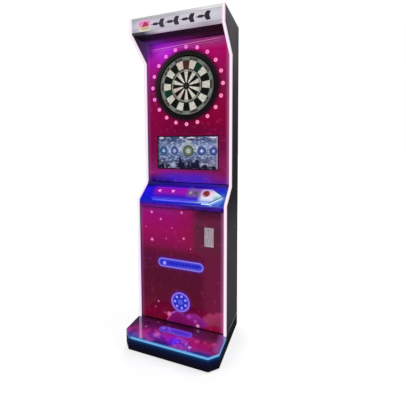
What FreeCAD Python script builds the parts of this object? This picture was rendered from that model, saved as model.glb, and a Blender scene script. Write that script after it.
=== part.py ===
import FreeCAD, Part
import Sketcher
import math
import os
import re

# Electronic dartboard cabinet. Millimetres, +Z up, front faces -Y, origin on the floor under the middle.
# Driving dimensions: each one is a cell of the spreadsheet with the same alias.
SIZES = {
    # outer envelope
    "overall_width": 650,
    "overall_depth": 500,
    "overall_height": 2150,
    "board": 18,
    # platform
    "foot_rise": 8,
    "foot_radius": 22,
    "foot_spread_x": 265,
    "foot_spread_y": 190,
    "platform_top": 101,
    "cover_depth": 8,
    "light_height": 9,
    "light_depth": 6,
    "corner_cut": 52,
    # front edge of the side panels, from the platform up
    "lower_front": -46,
    "deck_low": 950,
    "upper_front": 74,
    "deck_high": 1054,
    "bend_height": 1904,
    "header_front": -97,
    "header_base": 2045,
    "back_top": 2134,
    "channel_depth": 8,
    # doors
    "face_recess": 12,
    "sheet_depth": 5,
    "baffle_depth": 12,
    "door_half": 302,
    "lower_door_base": 108,
    "lower_door_top": 900,
    "upper_door_base": 1066,
    "upper_door_top": 2038,
    "rear_door_base": 125,
    "rear_door_top": 950,
    "pivot_radius": 4,
    "pivot_length": 15,
    "pivot_inset": 11,
    "pivot_plate": 3,
    "running_gap": 0.05,
    # target
    "bull_height": 1733,
    "half_sector": 9,
    "segment_gap": 2,
    "segment_depth": 19,
    "blade": 1.4,
    "inner_bull_radius": 9.5,
    "outer_bull_radius": 22,
    "single_inner": 25,
    "triple_inner": 99,
    "triple_outer": 115,
    "double_inner": 173,
    "double_outer": 190,
    "target_radius": 197,
    "ring_radius": 234.5,
    "ring_depth": 24,
    "ring_bevel": 8,
    "bull_travel": 2.5,
    "number_circle": 261,
    "number_radius": 14,
    "number_proud": 1.5,
    "sensor_depth": 12,
    # display
    "display_height": 1275,
    "display_half_width": 225,
    "display_half_height": 111,
    "bezel": 7,
    "display_depth": 37,
    # deck and console, measured up the slope from the lower front edge
    "deck_recess": 4,
    "deck_start": 3,
    "deck_end": 150,
    "console_low": 12,
    "console_high": 120,
    "console_half": 206,
    "console_tip": 281,
    "console_rise": 10,
    "well_floor": 2,
    "button_row": 82,
    "button_travel": 3,
    "stem_radius": 5,
    # lower door fittings
    "badge_height": 523,
    "badge_half": 167,
    "badge_radius": 31,
    "speaker_height": 262,
    "speaker_radius": 69,
    "coin_x": 206,
    "coin_half_width": 31,
    "coin_low": 672,
    "coin_high": 797,
    "coin_slot_low": 745,
    "coin_slot_high": 791,
    "coin_slot_half": 1.5,
    "reject_height": 704,
    "reject_radius": 8,
    # bolts that hold the two front doors, worked from inside
    "bolt_radius": 4,
    "lower_bolt_height": 620,
    "upper_bolt_height": 1430,
    # right side controls
    "rocker_y": 95,
    "rocker_height": 750,
    "rocker_pivot": 6.5,
    "rocker_pin_radius": 1.2,
    "key_y": 170,
    "key_height": 765,
    # back
    "back_face": 244,
    "back_panel_depth": 12,
    "fan_height": 1880,
    "fan_half": 60,
    "fan_depth": 25,
    "lock_x": -268,
    "lock_height": 560,
    "cash_wall": 2,
    # room for the lower door's hinged corner to sweep past the floor
    "floor_setback": 9,
}

X_AXIS = FreeCAD.Vector(1, 0, 0)
Y_AXIS = FreeCAD.Vector(0, 1, 0)
Z_AXIS = FreeCAD.Vector(0, 0, 1)
ORIGIN = FreeCAD.Vector(0, 0, 0)
SECTORS = 20

# Places that many pieces share, written in the sheet's aliases
INNER = "(overall_width / 2 - board)"
BACK = "(overall_depth / 2)"
UPPER_FACE = "(upper_front + face_recess)"
LOWER_FACE = "(lower_front + face_recess)"
UPPER_BAFFLE = f"({UPPER_FACE} + sheet_depth)"
LOWER_BAFFLE = f"({LOWER_FACE} + sheet_depth)"
UPPER_BACK = f"({UPPER_BAFFLE} + baffle_depth)"
LOWER_BACK = f"({LOWER_BAFFLE} + baffle_depth)"
DECK_RUN = "(upper_front - lower_front)"
DECK_RISE = "(deck_high - deck_low)"
SILL = "(deck_high + 6)"
CABINET_FLOOR = "(platform_top + board)"

doc = FreeCAD.newDocument("dartboard_cabinet")
sheet = doc.addObject("Spreadsheet::Sheet", "Dimensions")
for row, (alias, size) in enumerate(SIZES.items(), start=1):
    sheet.set(f"A{row}", alias)
    sheet.set(f"B{row}", str(size))
    sheet.setAlias(f"B{row}", alias)
doc.recompute()

nodes = []


def full(expression):
    """The expression with the sheet's name in front of each alias."""
    return re.sub(r"[a-z_]{3,}", lambda word: f"Dimensions.{word[0]}" if word[0] in SIZES else word[0],
                  str(expression))


def bind(thing, prop, expression):
    thing.setExpression(prop, full(expression))


def node(name, thing):
    """Names a finished sub-part, which is written to its own file."""
    thing.Label = name
    nodes.append(thing)
    return thing


def move(thing, x, y, z):
    for letter, place in zip("xyz", (x, y, z)):
        bind(thing, f"Placement.Base.{letter}", place)
    return thing


def box(x, y, z):
    """A block from the low to the high value on each axis."""
    block = doc.addObject("Part::Box", "Block")
    for side, (low, high) in zip(("Length", "Width", "Height"), (x, y, z)):
        bind(block, side, f"({high}) - ({low})")
    return move(block, x[0], y[0], z[0])


def span(centre, half):
    """The low and high value either side of a centre."""
    return (f"({centre}) - ({half})", f"({centre}) + ({half})")


def cylinder(axis, at, along, radius):
    """A round bar along X, Y or Z; at gives its place on the other two axes, in X, Y, Z order."""
    bar = doc.addObject("Part::Cylinder", "Bar")
    bind(bar, "Radius", radius)
    bind(bar, "Height", f"({along[1]}) - ({along[0]})")
    turns = {"X": FreeCAD.Rotation(Y_AXIS, 90), "Y": FreeCAD.Rotation(X_AXIS, -90), "Z": FreeCAD.Rotation()}
    bar.Placement = FreeCAD.Placement(ORIGIN, turns[axis])
    place = list(at)
    place.insert("XYZ".index(axis), along[0])
    return move(bar, *place)


def cone(at, along, radii):
    """A round taper along Y, from the first radius to the second."""
    taper = doc.addObject("Part::Cone", "Taper")
    bind(taper, "Radius1", radii[0])
    bind(taper, "Radius2", radii[1])
    bind(taper, "Height", f"({along[1]}) - ({along[0]})")
    taper.Placement = FreeCAD.Placement(ORIGIN, FreeCAD.Rotation(X_AXIS, -90))
    return move(taper, at[0], along[0], at[1])


def group(pieces):
    bundle = doc.addObject("Part::Compound", "Group")
    bundle.Links = list(pieces)
    return bundle


def cut(base, *tools):
    result = doc.addObject("Part::Cut", "Cut")
    result.Base = base
    result.Tool = tools[0] if len(tools) == 1 else group(tools)
    return result


def fuse(*pieces):
    result = doc.addObject("Part::MultiFuse", "Fusion")
    result.Shapes = list(pieces)
    return result


def common(*pieces):
    result = doc.addObject("Part::MultiCommon", "Common")
    result.Shapes = list(pieces)
    return result


def profile(plane, corners, low, high):
    """A pad of a straight-sided outline from low to high; the plane is XY (corners x, y) or YZ (y, z)."""
    body = doc.addObject("PartDesign::Body", "Profile")
    sketch = body.newObject("Sketcher::SketchObject", "Outline")
    origin = next(f for f in body.Origin.OriginFeatures if f.Role == f"{plane}_Plane")
    sketch.AttachmentSupport = (origin, "")
    sketch.MapMode = "FlatFace"
    bind(sketch, "AttachmentOffset.Base.z", low)
    rough = [FreeCAD.Vector(*sheet_values(corner), 0) for corner in corners]
    count = len(corners)
    for index, start in enumerate(rough):
        sketch.addGeometry(Part.LineSegment(start, rough[(index + 1) % count]), False)
    for index in range(count):
        link_sketch(sketch, "Coincident", index, 2, (index + 1) % count, 1)
    for index, corner in enumerate(corners):
        for kind, place in zip(("DistanceX", "DistanceY"), corner):
            number = link_sketch(sketch, kind, -1, 1, index, 1, sheet_value(place))
            bind(sketch, f"Constraints[{number}]", place)
    pad = body.newObject("PartDesign::Pad", "Pad")
    pad.Profile = sketch
    bind(pad, "Length", f"({high}) - ({low})")
    return body


def link_sketch(sketch, kind, *values):
    return sketch.addConstraint(Sketcher.Constraint(kind, *values))


def sheet_value(expression):
    """The number that an expression in the sheet's aliases comes to."""
    return float(sheet.evalExpression(full(expression)))


def sheet_values(expressions):
    return [sheet_value(expression) for expression in expressions]


# ---------------------------------------------------------------- platform
def plan(inset):
    """Corners of the platform seen from above, moved inwards; the front corners are cut at 45 degrees."""
    side = f"overall_width / 2 - ({inset})"
    front = f"-overall_depth / 2 + ({inset})"
    rear = f"overall_depth / 2 - ({inset})"
    bevel = f"corner_cut - ({inset}) * (2 - sqrt(2))"
    return [(f"-({side})", rear), (f"-({side})", f"{front} + {bevel}"), (f"-({side}) + {bevel}", front),
            (f"{side} - ({bevel})", front), (side, f"{front} + {bevel}"), (side, rear)]


def platform():
    cover_base = "platform_top - cover_depth"
    light_base = f"{cover_base} - light_height"
    pads = [cylinder("Z", (f"{x} * foot_spread_x", f"{y} * foot_spread_y"), ("0", "foot_rise"), "foot_radius")
            for x in (-1, 1) for y in (-1, 1)]
    node("foot_pads", group(pads))
    band = cut(profile("XY", plan("0"), light_base, cover_base),
               profile("XY", plan("light_depth"), light_base, cover_base))
    behind_body = box(span("0", "overall_width"), ("lower_front", "overall_depth"), span(cover_base, "board"))
    light = node("platform_light", cut(band, behind_body))
    tray = cut(profile("XY", plan("0"), "foot_rise", cover_base),
               profile("XY", plan("board"), "foot_rise + board", cover_base))
    node("plinth_frame", cut(tray, light))
    node("platform_cover", profile("XY", plan("0"), cover_base, "platform_top"))


# ---------------------------------------------------------------- side panels and header
def miter(run, rise):
    """Drop of an inset corner where an upright edge meets a sloped one, per millimetre of inset."""
    return f"((sqrt(({run})^2 + ({rise})^2) - ({rise})) / ({run}))"


def front_edge(inset):
    """Corners of the side panels' stepped front edge, moved back by the inset, from the platform up."""
    deck = miter(DECK_RUN, DECK_RISE)
    brow = miter("header_front - upper_front", "header_base - bend_height")
    return [(f"lower_front + {inset}", "platform_top"),
            (f"lower_front + {inset}", f"deck_low - {inset} * {deck}"),
            (f"upper_front + {inset}", f"deck_high - {inset} * {deck}"),
            (f"upper_front + {inset}", f"bend_height - {inset} * {brow}"),
            (f"header_front + {inset}", f"header_base - {inset} * {brow}"),
            (f"header_front + {inset}", "overall_height")]


def side_slabs():
    """The low and high X of the left and the right side panel."""
    return {"left": ("-overall_width / 2", f"-{INNER}"), "right": (INNER, "overall_width / 2")}


def side_panels():
    outline = front_edge("channel_depth") + [(BACK, "back_top"), (BACK, "platform_top")]
    blanks = {side: profile("YZ", outline, *slab) for side, slab in side_slabs().items()}
    node("side_panel_left", blanks["left"])
    bolt_holes = [cylinder("X", (f"{back} - baffle_depth / 2", height), (INNER, f"{INNER} + 9"),
                           "bolt_radius + 0.3")
                  for back, height in ((LOWER_BACK, "lower_bolt_height"), (UPPER_BACK, "upper_bolt_height"))]
    outside = "overall_width / 2"
    rocker_hole = cylinder("X", ("rocker_y", "rocker_height"), (f"{INNER} - 1", f"{outside} + 1"), "10.3")
    rocker_seat = cylinder("X", ("rocker_y", "rocker_height"), (f"{outside} - 2", f"{outside} + 1"), "13")
    key_hole = cylinder("X", ("key_y", "key_height"), (f"{INNER} - 1", f"{outside} + 1"), "9 + running_gap")
    node("side_panel_right", cut(blanks["right"], *bolt_holes, rocker_hole, rocker_seat, key_hole))


def edge_lights():
    """White light channels on the front edges, in straight lengths mitred at each corner."""
    outer = front_edge("0")
    inner = front_edge("channel_depth")
    lengths = [profile("YZ", [outer[step], outer[step + 1], inner[step + 1], inner[step]], *slab)
               for slab in side_slabs().values() for step in range(len(outer) - 1)]
    node("edge_lights", group(lengths))


def header_top(y):
    """Height of the side panels' sloping top edge at a depth."""
    slope = f"(overall_height - back_top) / ({BACK} - header_front - channel_depth)"
    return f"overall_height - {slope} * ({y} - header_front - channel_depth)"


def header():
    width = (f"-{INNER}", INNER)
    rail_front = "header_front + 2"
    rail_back = "header_front + 26"
    panel = [(rail_back, f"{header_top(rail_back)} - board"), (rail_back, header_top(rail_back)),
             (BACK, "back_top"), (BACK, "back_top - board")]
    node("top_panel", profile("YZ", panel, *width))
    node("soffit_panel", box(width, (rail_back, f"{UPPER_BACK} + 8"), ("header_base", "header_base + 12")))
    rail_heights = (("overall_height - 18", "overall_height - 1.5"), ("header_base", "header_base + 14"))
    rails = [box(width, (rail_front, rail_back), height) for height in rail_heights]
    node("marquee_rails", group(rails))
    node("marquee_panel", box(width, ("header_front + 4", "header_front + 8"),
                              ("header_base + 14", "overall_height - 18")))
    node("marquee_lamp", box(span("0", "275"), ("header_front + 40", "header_front + 70"),
                             ("header_base + 12", "header_base + 32")))


# ---------------------------------------------------------------- carcass
def pivots():
    """Corner pivots of the three doors: a plate with a pin, above and below each door, and one strike."""
    doors = [("-1", LOWER_BACK, ("platform_top", "lower_door_top + 6")),
             ("-1", UPPER_BACK, (SILL, "header_base")),
             ("1", "back_face", (CABINET_FLOOR, "rear_door_top + 6"))]
    pieces = []
    for side, back, (low, high) in doors:
        x = f"{side} * (door_half - pivot_inset)"
        y = f"{back} - baffle_depth / 2"
        for start, sign in ((low, 1), (high, -1)):
            plate = (start, f"{start} + pivot_plate") if sign > 0 else (f"{start} - pivot_plate", start)
            pin = (start, f"{start} + pivot_plate + pivot_length")
            if sign < 0:
                pin = (f"{start} - pivot_plate - pivot_length", start)
            pieces.append(fuse(box(span(x, "9"), span(y, "8"), plate),
                               cylinder("Z", (x, y), pin, "pivot_radius")))
    strike_y = "back_face - back_panel_depth"
    pieces.append(box((f"-{INNER}", f"-{INNER} + 20"), (f"{strike_y} - 3", f"{strike_y} - 0.5"),
                      span("lock_height", "18")))
    node("door_hardware", group(pieces))


def carcass():
    width = (f"-{INNER}", INNER)
    floor = box(width, (f"{LOWER_BACK} + floor_setback", "back_face"), ("platform_top", CABINET_FLOOR))
    shelf = box(width, ("upper_front - 2", "back_face - back_panel_depth"), (f"{SILL} - 14", SILL))
    node("shelves", group([floor, shelf]))
    rail_top = "rear_door_top + 28"
    rails = [
        box(width, ("lower_front + 14", "lower_front + 32"), ("lower_door_top + 6", "lower_door_top + 28")),
        box(width, ("back_face - 24", "back_face"), ("rear_door_top + 6", rail_top)),
        box(width, ("back_face - back_panel_depth - 30", "back_face - back_panel_depth"),
            ("back_top - 48", "back_top - 20")),
    ]
    node("cross_rails", group(rails))
    back = ("back_face - back_panel_depth", "back_face")
    blank = box(width, back, (rail_top, "back_top - 18"))
    slots = [box(span("0", reach), span("back_face", "board"), span(f"fan_height + {13 * step}", "3"))
             for step, reach in zip(range(-3, 4), (30, 42, 50, 52, 50, 42, 30))]
    inlet_hole = box(span("200", "15"), span("back_face", "board"), span("1010", "12"))
    node("back_panel", cut(blank, *slots, inlet_hole))
    screws = [cylinder("Y", (x, height), ("back_face", "back_face + 2.5"), "4.5")
              for x in (-290, 290) for height in (1000, 1220, 1440, 1660, 1880, 2090)]
    node("panel_screws", group(screws))


# ---------------------------------------------------------------- deck, console and its buttons
def on_deck(thing):
    """Turns a piece made on a level plane, x across and y up the slope, onto the sloping deck."""
    thing.Placement = FreeCAD.Placement(ORIGIN, FreeCAD.Rotation(X_AXIS, 30))
    length = f"sqrt({DECK_RUN}^2 + {DECK_RISE}^2)"
    bind(thing, "Placement.Rotation.Angle", f"atan({DECK_RISE} / {DECK_RUN})")
    return move(thing, "0", f"lower_front + deck_recess * {DECK_RISE} / {length}",
                f"deck_low - deck_recess * {DECK_RUN} / {length}")


BUTTONS = {
    # name: across, half width, half length of a square cap or None for a round one
    "left_arrow_button": ("-175", "19", "15"),
    "down_arrow_button": ("-71", "19", "15"),
    "select_button": ("60", "11", None),
    "back_button": ("97", "9", None),
    "start_button": ("171", "23", None),
}


def cap(x, half, length, height, gap):
    """The outline of a button's cap, or with a gap that of the well it moves in."""
    if length is None:
        return cylinder("Z", (x, "button_row"), height, f"{half} + {gap}")
    return box(span(x, f"{half} + {gap}"), span("button_row", f"{length} + {gap}"), height)


def deck():
    stems, wells, switches = [], [], []
    for name, (x, half, length) in BUTTONS.items():
        bore = ("-board - 1", "console_rise + 1")
        stems.append(cylinder("Z", (x, "button_row"), bore, "stem_radius + 0.3"))
        wells.append(cap(x, half, length, ("well_floor", "console_rise + 1"), "0.4"))
        head = cap(x, half, length, ("well_floor + button_travel + 0.5", "console_rise + 4"), "0")
        stem = cylinder("Z", (x, "button_row"), ("-board - 4", "console_rise"), "stem_radius")
        node(name, on_deck(fuse(head, stem)))
        case = box(span(x, "9"), span("button_row", "14"), ("-board - 34", "-board"))
        pocket = cylinder("Z", (x, "button_row"), ("-board - 9", "-board + 1"), "stem_radius + 0.6")
        switches.append(on_deck(cut(case, pocket)))
    through = group(stems)
    panel = box((f"-{INNER}", INNER), ("deck_start", "deck_end"), ("-board", "0"))
    node("deck_panel", on_deck(cut(panel, through)))
    middle = "(console_low + console_high) / 2"
    hexagon = [("-console_half", "console_low"), ("console_half", "console_low"), ("console_tip", middle),
               ("console_half", "console_high"), ("-console_half", "console_high"), ("-console_tip", middle)]
    plate = profile("XY", hexagon, "0", "console_rise")
    node("console_plate", on_deck(cut(plate, through, *wells)))
    strip = box(span("0", "console_half - 2"), ("console_low - 5", "console_low"), ("0", "console_rise - 1"))
    node("console_light", on_deck(group([strip])))
    node("fascia_panel", box((f"-{INNER}", INNER), ("lower_front + 6", "lower_front + 12"),
                             ("lower_door_top + 6", "deck_low - 12")))
    node("switch_bodies", group(switches + [side_switch()]))


def side_switch():
    """Round body of the power switch, let into the right side panel."""
    outside = "overall_width / 2"
    at = ("rocker_y", "rocker_height")
    flange = cylinder("X", at, (f"{outside} - 2", f"{outside} - 0.4"), "12.7")
    barrel = cylinder("X", at, (f"{outside} - 30", f"{outside} - 2"), "10")
    pocket = box((f"{outside} - 13", f"{outside} + 1"), span("rocker_y", "5"), span("rocker_height", "8.8"))
    bearing = cylinder("Y", (f"{outside} - rocker_pivot", "rocker_height"), span("rocker_y", "7"),
                       "rocker_pin_radius + running_gap")
    return cut(fuse(flange, barrel), pocket, bearing)


def side_controls():
    outside = "overall_width / 2"
    rocker = box((f"{outside} - 8", f"{outside} - 0.6"), span("rocker_y", "4.5"),
                 span("rocker_height", "8"))
    pin = cylinder("Y", (f"{outside} - rocker_pivot", "rocker_height"), span("rocker_y", "6.5"),
                   "rocker_pin_radius")
    node("power_rocker", fuse(rocker, pin))
    lock = cylinder("X", ("key_y", "key_height"), (f"{outside} - 26", f"{outside} - 0.4"), "9")
    slot = box((f"{outside} - 6", f"{outside}"), span("key_y", "0.8"), span("key_height", "4.5"))
    node("key_switch", cut(lock, slot))


# ---------------------------------------------------------------- doors
def pivot_bores(side, back, low, high):
    """Running bores for the pivot pins, in the door's two corners."""
    at = (f"{side} * (door_half - pivot_inset)", f"{back} - baffle_depth / 2")
    depth = "pivot_length"
    return [cylinder("Z", at, (f"{low} - 1", f"{low} + {depth}"), "pivot_radius + running_gap"),
            cylinder("Z", at, (f"{high} - {depth}", f"{high} + 1"), "pivot_radius + running_gap")]


def bolt(name, back, height):
    """A bolt in the free edge of a front door, with a thumb pin at the back. Returns the room it needs."""
    y = f"({back} - baffle_depth / 2)"
    bar = cylinder("X", (y, height), ("door_half - 54", "door_half - 1"), "bolt_radius")
    thumb = cylinder("Y", ("door_half - 42", height), (y, f"{back} + 10"), "2.5")
    node(name, fuse(bar, thumb))
    bore = cylinder("X", (y, height), ("door_half - 56", "door_half + 1"), "bolt_radius + running_gap")
    slot = box(("door_half - 45", "door_half - 26"), (y, f"{back} + 1"), span(height, "2.8"))
    return [bore, slot]


def pill(reach, radius, y):
    """A long shape with round ends at the badge's height."""
    ends = [cylinder("Y", (f"{sign} * ({reach} - ({radius}))", "badge_height"), y, radius)
            for sign in (-1, 1)]
    middle = box(span("0", f"{reach} - ({radius})"), y, span("badge_height", radius))
    return fuse(middle, *ends)


def lower_door():
    width = span("0", "door_half")
    height = ("lower_door_base", "lower_door_top")
    sheet_y = (LOWER_FACE, LOWER_BAFFLE)
    baffle_y = (LOWER_BAFFLE, LOWER_BACK)
    through = (f"{LOWER_FACE} - 1", f"{LOWER_BACK} + 1")
    coin_hole = box(span("coin_x", "coin_half_width - 5"), through, ("coin_low + 6", "coin_high - 6"))
    bolt_room = bolt("lower_bolt", LOWER_BACK, "lower_bolt_height")
    badge_hole = pill("badge_half + 0.3", "badge_radius + 0.3", through)
    speaker_hole = cylinder("Y", ("0", "speaker_height"), through, "speaker_radius + 0.3")
    node("lower_sheet", cut(box(width, sheet_y, height), coin_hole, badge_hole, speaker_hole))
    node("lower_baffle", cut(box(width, baffle_y, height), coin_hole,
                             pill("badge_half - 12", "badge_radius - 8", through),
                             cylinder("Y", ("0", "speaker_height"), through, "speaker_radius - 12"),
                             *pivot_bores("-1", LOWER_BACK, *height), *bolt_room))
    node("badge_lens", pill("badge_half", "badge_radius", (f"{LOWER_FACE} - 2", LOWER_BAFFLE)))
    coin_pieces()
    speaker()


def coin_pieces():
    plate_y = (f"{LOWER_FACE} - 5", LOWER_FACE)
    mech_y = (LOWER_FACE, f"{LOWER_BACK} + 38")
    slot = box(span("coin_x", "coin_slot_half"), (f"{LOWER_FACE} - 6", f"{LOWER_BACK} + 8"),
               ("coin_slot_low", "coin_slot_high"))
    button_at = ("coin_x", "reject_height")
    plate = box(span("coin_x", "coin_half_width"), plate_y, ("coin_low", "coin_high"))
    bore = cylinder("Y", button_at, (f"{LOWER_FACE} - 6", f"{LOWER_FACE} + 10"), "reject_radius + 0.3")
    node("coin_plate", cut(plate, slot, bore))
    mech = box(span("coin_x", "coin_half_width - 7"), mech_y, ("coin_low + 8", "coin_high - 8"))
    node("coin_mechanism", cut(mech, slot, bore))
    button_y = (f"{LOWER_FACE} - 9", f"{LOWER_FACE} + 5")
    node("reject_button", cylinder("Y", button_at, button_y, "reject_radius"))


def speaker():
    at = ("0", "speaker_height")
    disc = cylinder("Y", at, (f"{LOWER_FACE} - 3", LOWER_BAFFLE), "speaker_radius")
    holes = [cylinder("Y", at, (f"{LOWER_FACE} - 4", f"{LOWER_BAFFLE} + 1"), "5")]
    for ring, count in ((17, 6), (33, 12), (49, 18)):
        for step in range(count):
            angle = 2 * math.pi * step / count
            x, z = ring * math.cos(angle), ring * math.sin(angle)
            holes.append(cylinder("Y", (f"{x:.3f}", f"speaker_height + {z:.3f}"),
                                  (f"{LOWER_FACE} - 4", f"{LOWER_BAFFLE} + 1"), "4.5"))
    node("speaker_grille", cut(disc, *holes))
    flange = cylinder("Y", at, (LOWER_BACK, f"{LOWER_BACK} + 3"), "speaker_radius - 4")
    basket = cone(at, (f"{LOWER_BACK} + 3", f"{LOWER_BACK} + 34"), ("speaker_radius - 12", "26"))
    magnet = cylinder("Y", at, (f"{LOWER_BACK} + 34", f"{LOWER_BACK} + 52"), "32")
    node("speaker_driver", fuse(flange, basket, magnet))


def upper_door():
    width = span("0", "door_half")
    height = ("upper_door_base", "upper_door_top")
    through = (f"{UPPER_FACE} - 1", f"{UPPER_BACK} + 1")
    window = box(span("0", "display_half_width + bezel + 1"), through,
                 span("display_height", "display_half_height + bezel + 1"))
    target_hole = cylinder("Y", ("0", "bull_height"), through, "ring_radius + 0.5")
    lamp_holes, lamps = [], []
    for step in range(SECTORS):
        angle = f"{step} * 360deg / {SECTORS}"
        at = (f"number_circle * cos({angle})", f"bull_height + number_circle * sin({angle})")
        hole_y = (f"{UPPER_FACE} - 1", f"{UPPER_BAFFLE} + 1")
        lamp_holes.append(cylinder("Y", at, hole_y, "number_radius + 0.3"))
        lamps.append(cylinder("Y", at, (f"{UPPER_FACE} - number_proud", UPPER_BAFFLE), "number_radius"))
    node("number_lights", group(lamps))
    node("upper_sheet", cut(box(width, (UPPER_FACE, UPPER_BAFFLE), height), window, target_hole, *lamp_holes))
    bolt_room = bolt("upper_bolt", UPPER_BACK, "upper_bolt_height")
    node("upper_baffle", cut(box(width, (UPPER_BAFFLE, UPPER_BACK), height), window, target_hole,
                             *pivot_bores("-1", UPPER_BACK, *height), *bolt_room))
    display()
    target()


def display():
    neck = box(span("0", "display_half_width + bezel"), (f"{UPPER_FACE} + 1", UPPER_BACK),
               span("display_height", "display_half_height + bezel"))
    case = box(span("0", "display_half_width + 22"), (UPPER_BACK, f"{UPPER_BACK} + display_depth"),
               span("display_height", "display_half_height + 20"))
    seat = box(span("0", "display_half_width"), (UPPER_FACE, f"{UPPER_FACE} + 8"),
               span("display_height", "display_half_height"))
    node("display_housing", cut(fuse(neck, case), seat))
    node("display_glass", box(span("0", "display_half_width"), (f"{UPPER_FACE} + 3", f"{UPPER_FACE} + 8"),
                              span("display_height", "display_half_height")))


def on_board(thing):
    """Turns a piece made on a level plane to stand on the sensor plate, facing the player."""
    thing.Placement = FreeCAD.Placement(ORIGIN, FreeCAD.Rotation(X_AXIS, 90))
    return move(thing, "0", UPPER_BACK, "bull_height")


def disc(radius, height):
    return cylinder("Z", ("0", "0"), height, radius)


def annulus(inner, outer, height):
    return cut(disc(outer, height), disc(inner, (f"{height[0]} - 1", f"{height[1]} + 1")))


def wedges():
    """Twenty sectors with an even gap between neighbours; the first is centred on the right."""
    shift = "(segment_gap / 2 / sin(half_sector * 1deg))"
    pieces = []
    for step in range(SECTORS):
        turn = 360 * step / SECTORS
        wedge = doc.addObject("Part::Cylinder", "Sector")
        bind(wedge, "Radius", "target_radius")
        bind(wedge, "Height", "segment_depth")
        bind(wedge, "Angle", "2 * half_sector")
        wedge.Placement = FreeCAD.Placement(ORIGIN, FreeCAD.Rotation(Z_AXIS, turn - SIZES["half_sector"]))
        pieces.append(move(wedge, f"{shift} * cos({turn}deg)", f"{shift} * sin({turn}deg)", "0"))
    return group(pieces)


def target():
    depth = ("0", "segment_depth")
    sectors = wedges()
    singles = group([annulus("single_inner", "triple_inner - segment_gap", depth),
                     annulus("triple_outer + segment_gap", "double_inner - segment_gap", depth)])
    node("single_segments", on_board(common(sectors, singles)))
    node("triple_segments", on_board(common(sectors, annulus("triple_inner", "triple_outer", depth))))
    node("double_segments", on_board(common(sectors, annulus("double_inner", "double_outer", depth))))
    web = ("0", "segment_depth + 1")
    gap = "(segment_gap - blade) / 2"
    rings = [annulus(f"{edge} - segment_gap + {gap}", f"{edge} - {gap}", web)
             for edge in ("single_inner", "triple_inner", "triple_outer + segment_gap", "double_inner")]
    rings.append(annulus(f"double_outer + {gap}", "target_radius", web))
    blades = []
    for step in range(SECTORS):
        blade = box(("single_inner - 1", "double_outer + 2"), span("0", "blade / 2"), web)
        arm = group([blade])
        arm.Placement = FreeCAD.Placement(ORIGIN, FreeCAD.Rotation(Z_AXIS, 360 * (step + 0.5) / SECTORS))
        blades.append(arm)
    node("spider_web", on_board(fuse(*rings, *blades)))
    bulls = ("bull_travel", "segment_depth + 0.5")
    node("outer_bull", on_board(annulus("inner_bull_radius + 0.4", "outer_bull_radius", bulls)))
    node("inner_bull", on_board(group([disc("inner_bull_radius", bulls)])))
    body = disc("ring_radius", ("0", "ring_depth"))
    mouth = doc.addObject("Part::Cone", "Mouth")
    bind(mouth, "Radius1", "target_radius + 0.5")
    bind(mouth, "Radius2", "target_radius + ring_bevel")
    bind(mouth, "Height", "ring_depth")
    node("catch_ring", on_board(cut(body, mouth)))
    node("sensor_plate", on_board(group([disc("ring_radius + 14", ("-sensor_depth", "0"))])))


def rear_door():
    back = ("back_face - back_panel_depth", "back_face")
    height = ("rear_door_base", "rear_door_top")
    vents = [box(span("0", "100"), span("back_face", "board"), span(f"{base + 16 * step}", "3"))
             for base in (190, 780) for step in range(7)]
    lock_at = ("lock_x", "lock_height")
    lock_bore = cylinder("Y", lock_at, (f"{back[0]} - 1", "back_face + 1"), "9 + running_gap")
    node("rear_door", cut(box(span("0", "door_half"), back, height), *vents, lock_bore,
                          *pivot_bores("1", "back_face", *height)))
    barrel = cylinder("Y", lock_at, (f"{back[0]} - 8", "back_face + 3"), "9")
    cam = box(span("lock_x", "6"), (f"{back[0]} - 8", f"{back[0]} - 4"), ("lock_height - 32", "lock_height"))
    slot = box(span("lock_x", "0.8"), ("back_face", "back_face + 4"), span("lock_height", "4.5"))
    node("rear_lock", cut(fuse(barrel, cam), slot))


# ---------------------------------------------------------------- machinery inside
def fan():
    inside = "(back_face - back_panel_depth)"
    at = ("0", "fan_height")
    frame = cut(box(span("0", "fan_half"), (f"{inside} - fan_depth", inside), span("fan_height", "fan_half")),
                cylinder("Y", at, (f"{inside} - fan_depth - 1", f"{inside} + 1"), "fan_half - 4"))
    struts = [box(span("0", "fan_half - 1"), (f"{inside} - 4", inside), span("fan_height", "3")),
              box(span("0", "3"), (f"{inside} - 4", inside), span("fan_height", "fan_half - 1"))]
    motor = cylinder("Y", at, (f"{inside} - 5", inside), "18")
    node("fan_housing", fuse(frame, *struts, motor))
    hub = disc("19", ("6", "fan_depth - 2"))
    blades = []
    for step in range(7):
        blade = box(("15", "fan_half - 8"), span("0", "10"), span("0", "0.8"))
        arm = group([blade])
        arm.Placement = (FreeCAD.Placement(ORIGIN, FreeCAD.Rotation(Z_AXIS, 360 * step / 7))
                         * FreeCAD.Placement(FreeCAD.Vector(0, 0, 14.5), FreeCAD.Rotation(X_AXIS, 32)))
        blades.append(arm)
    rotor = fuse(hub, *blades)
    rotor.Placement = FreeCAD.Placement(ORIGIN, FreeCAD.Rotation(X_AXIS, 90))
    node("fan_rotor", move(rotor, "0", inside, "fan_height"))


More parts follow.
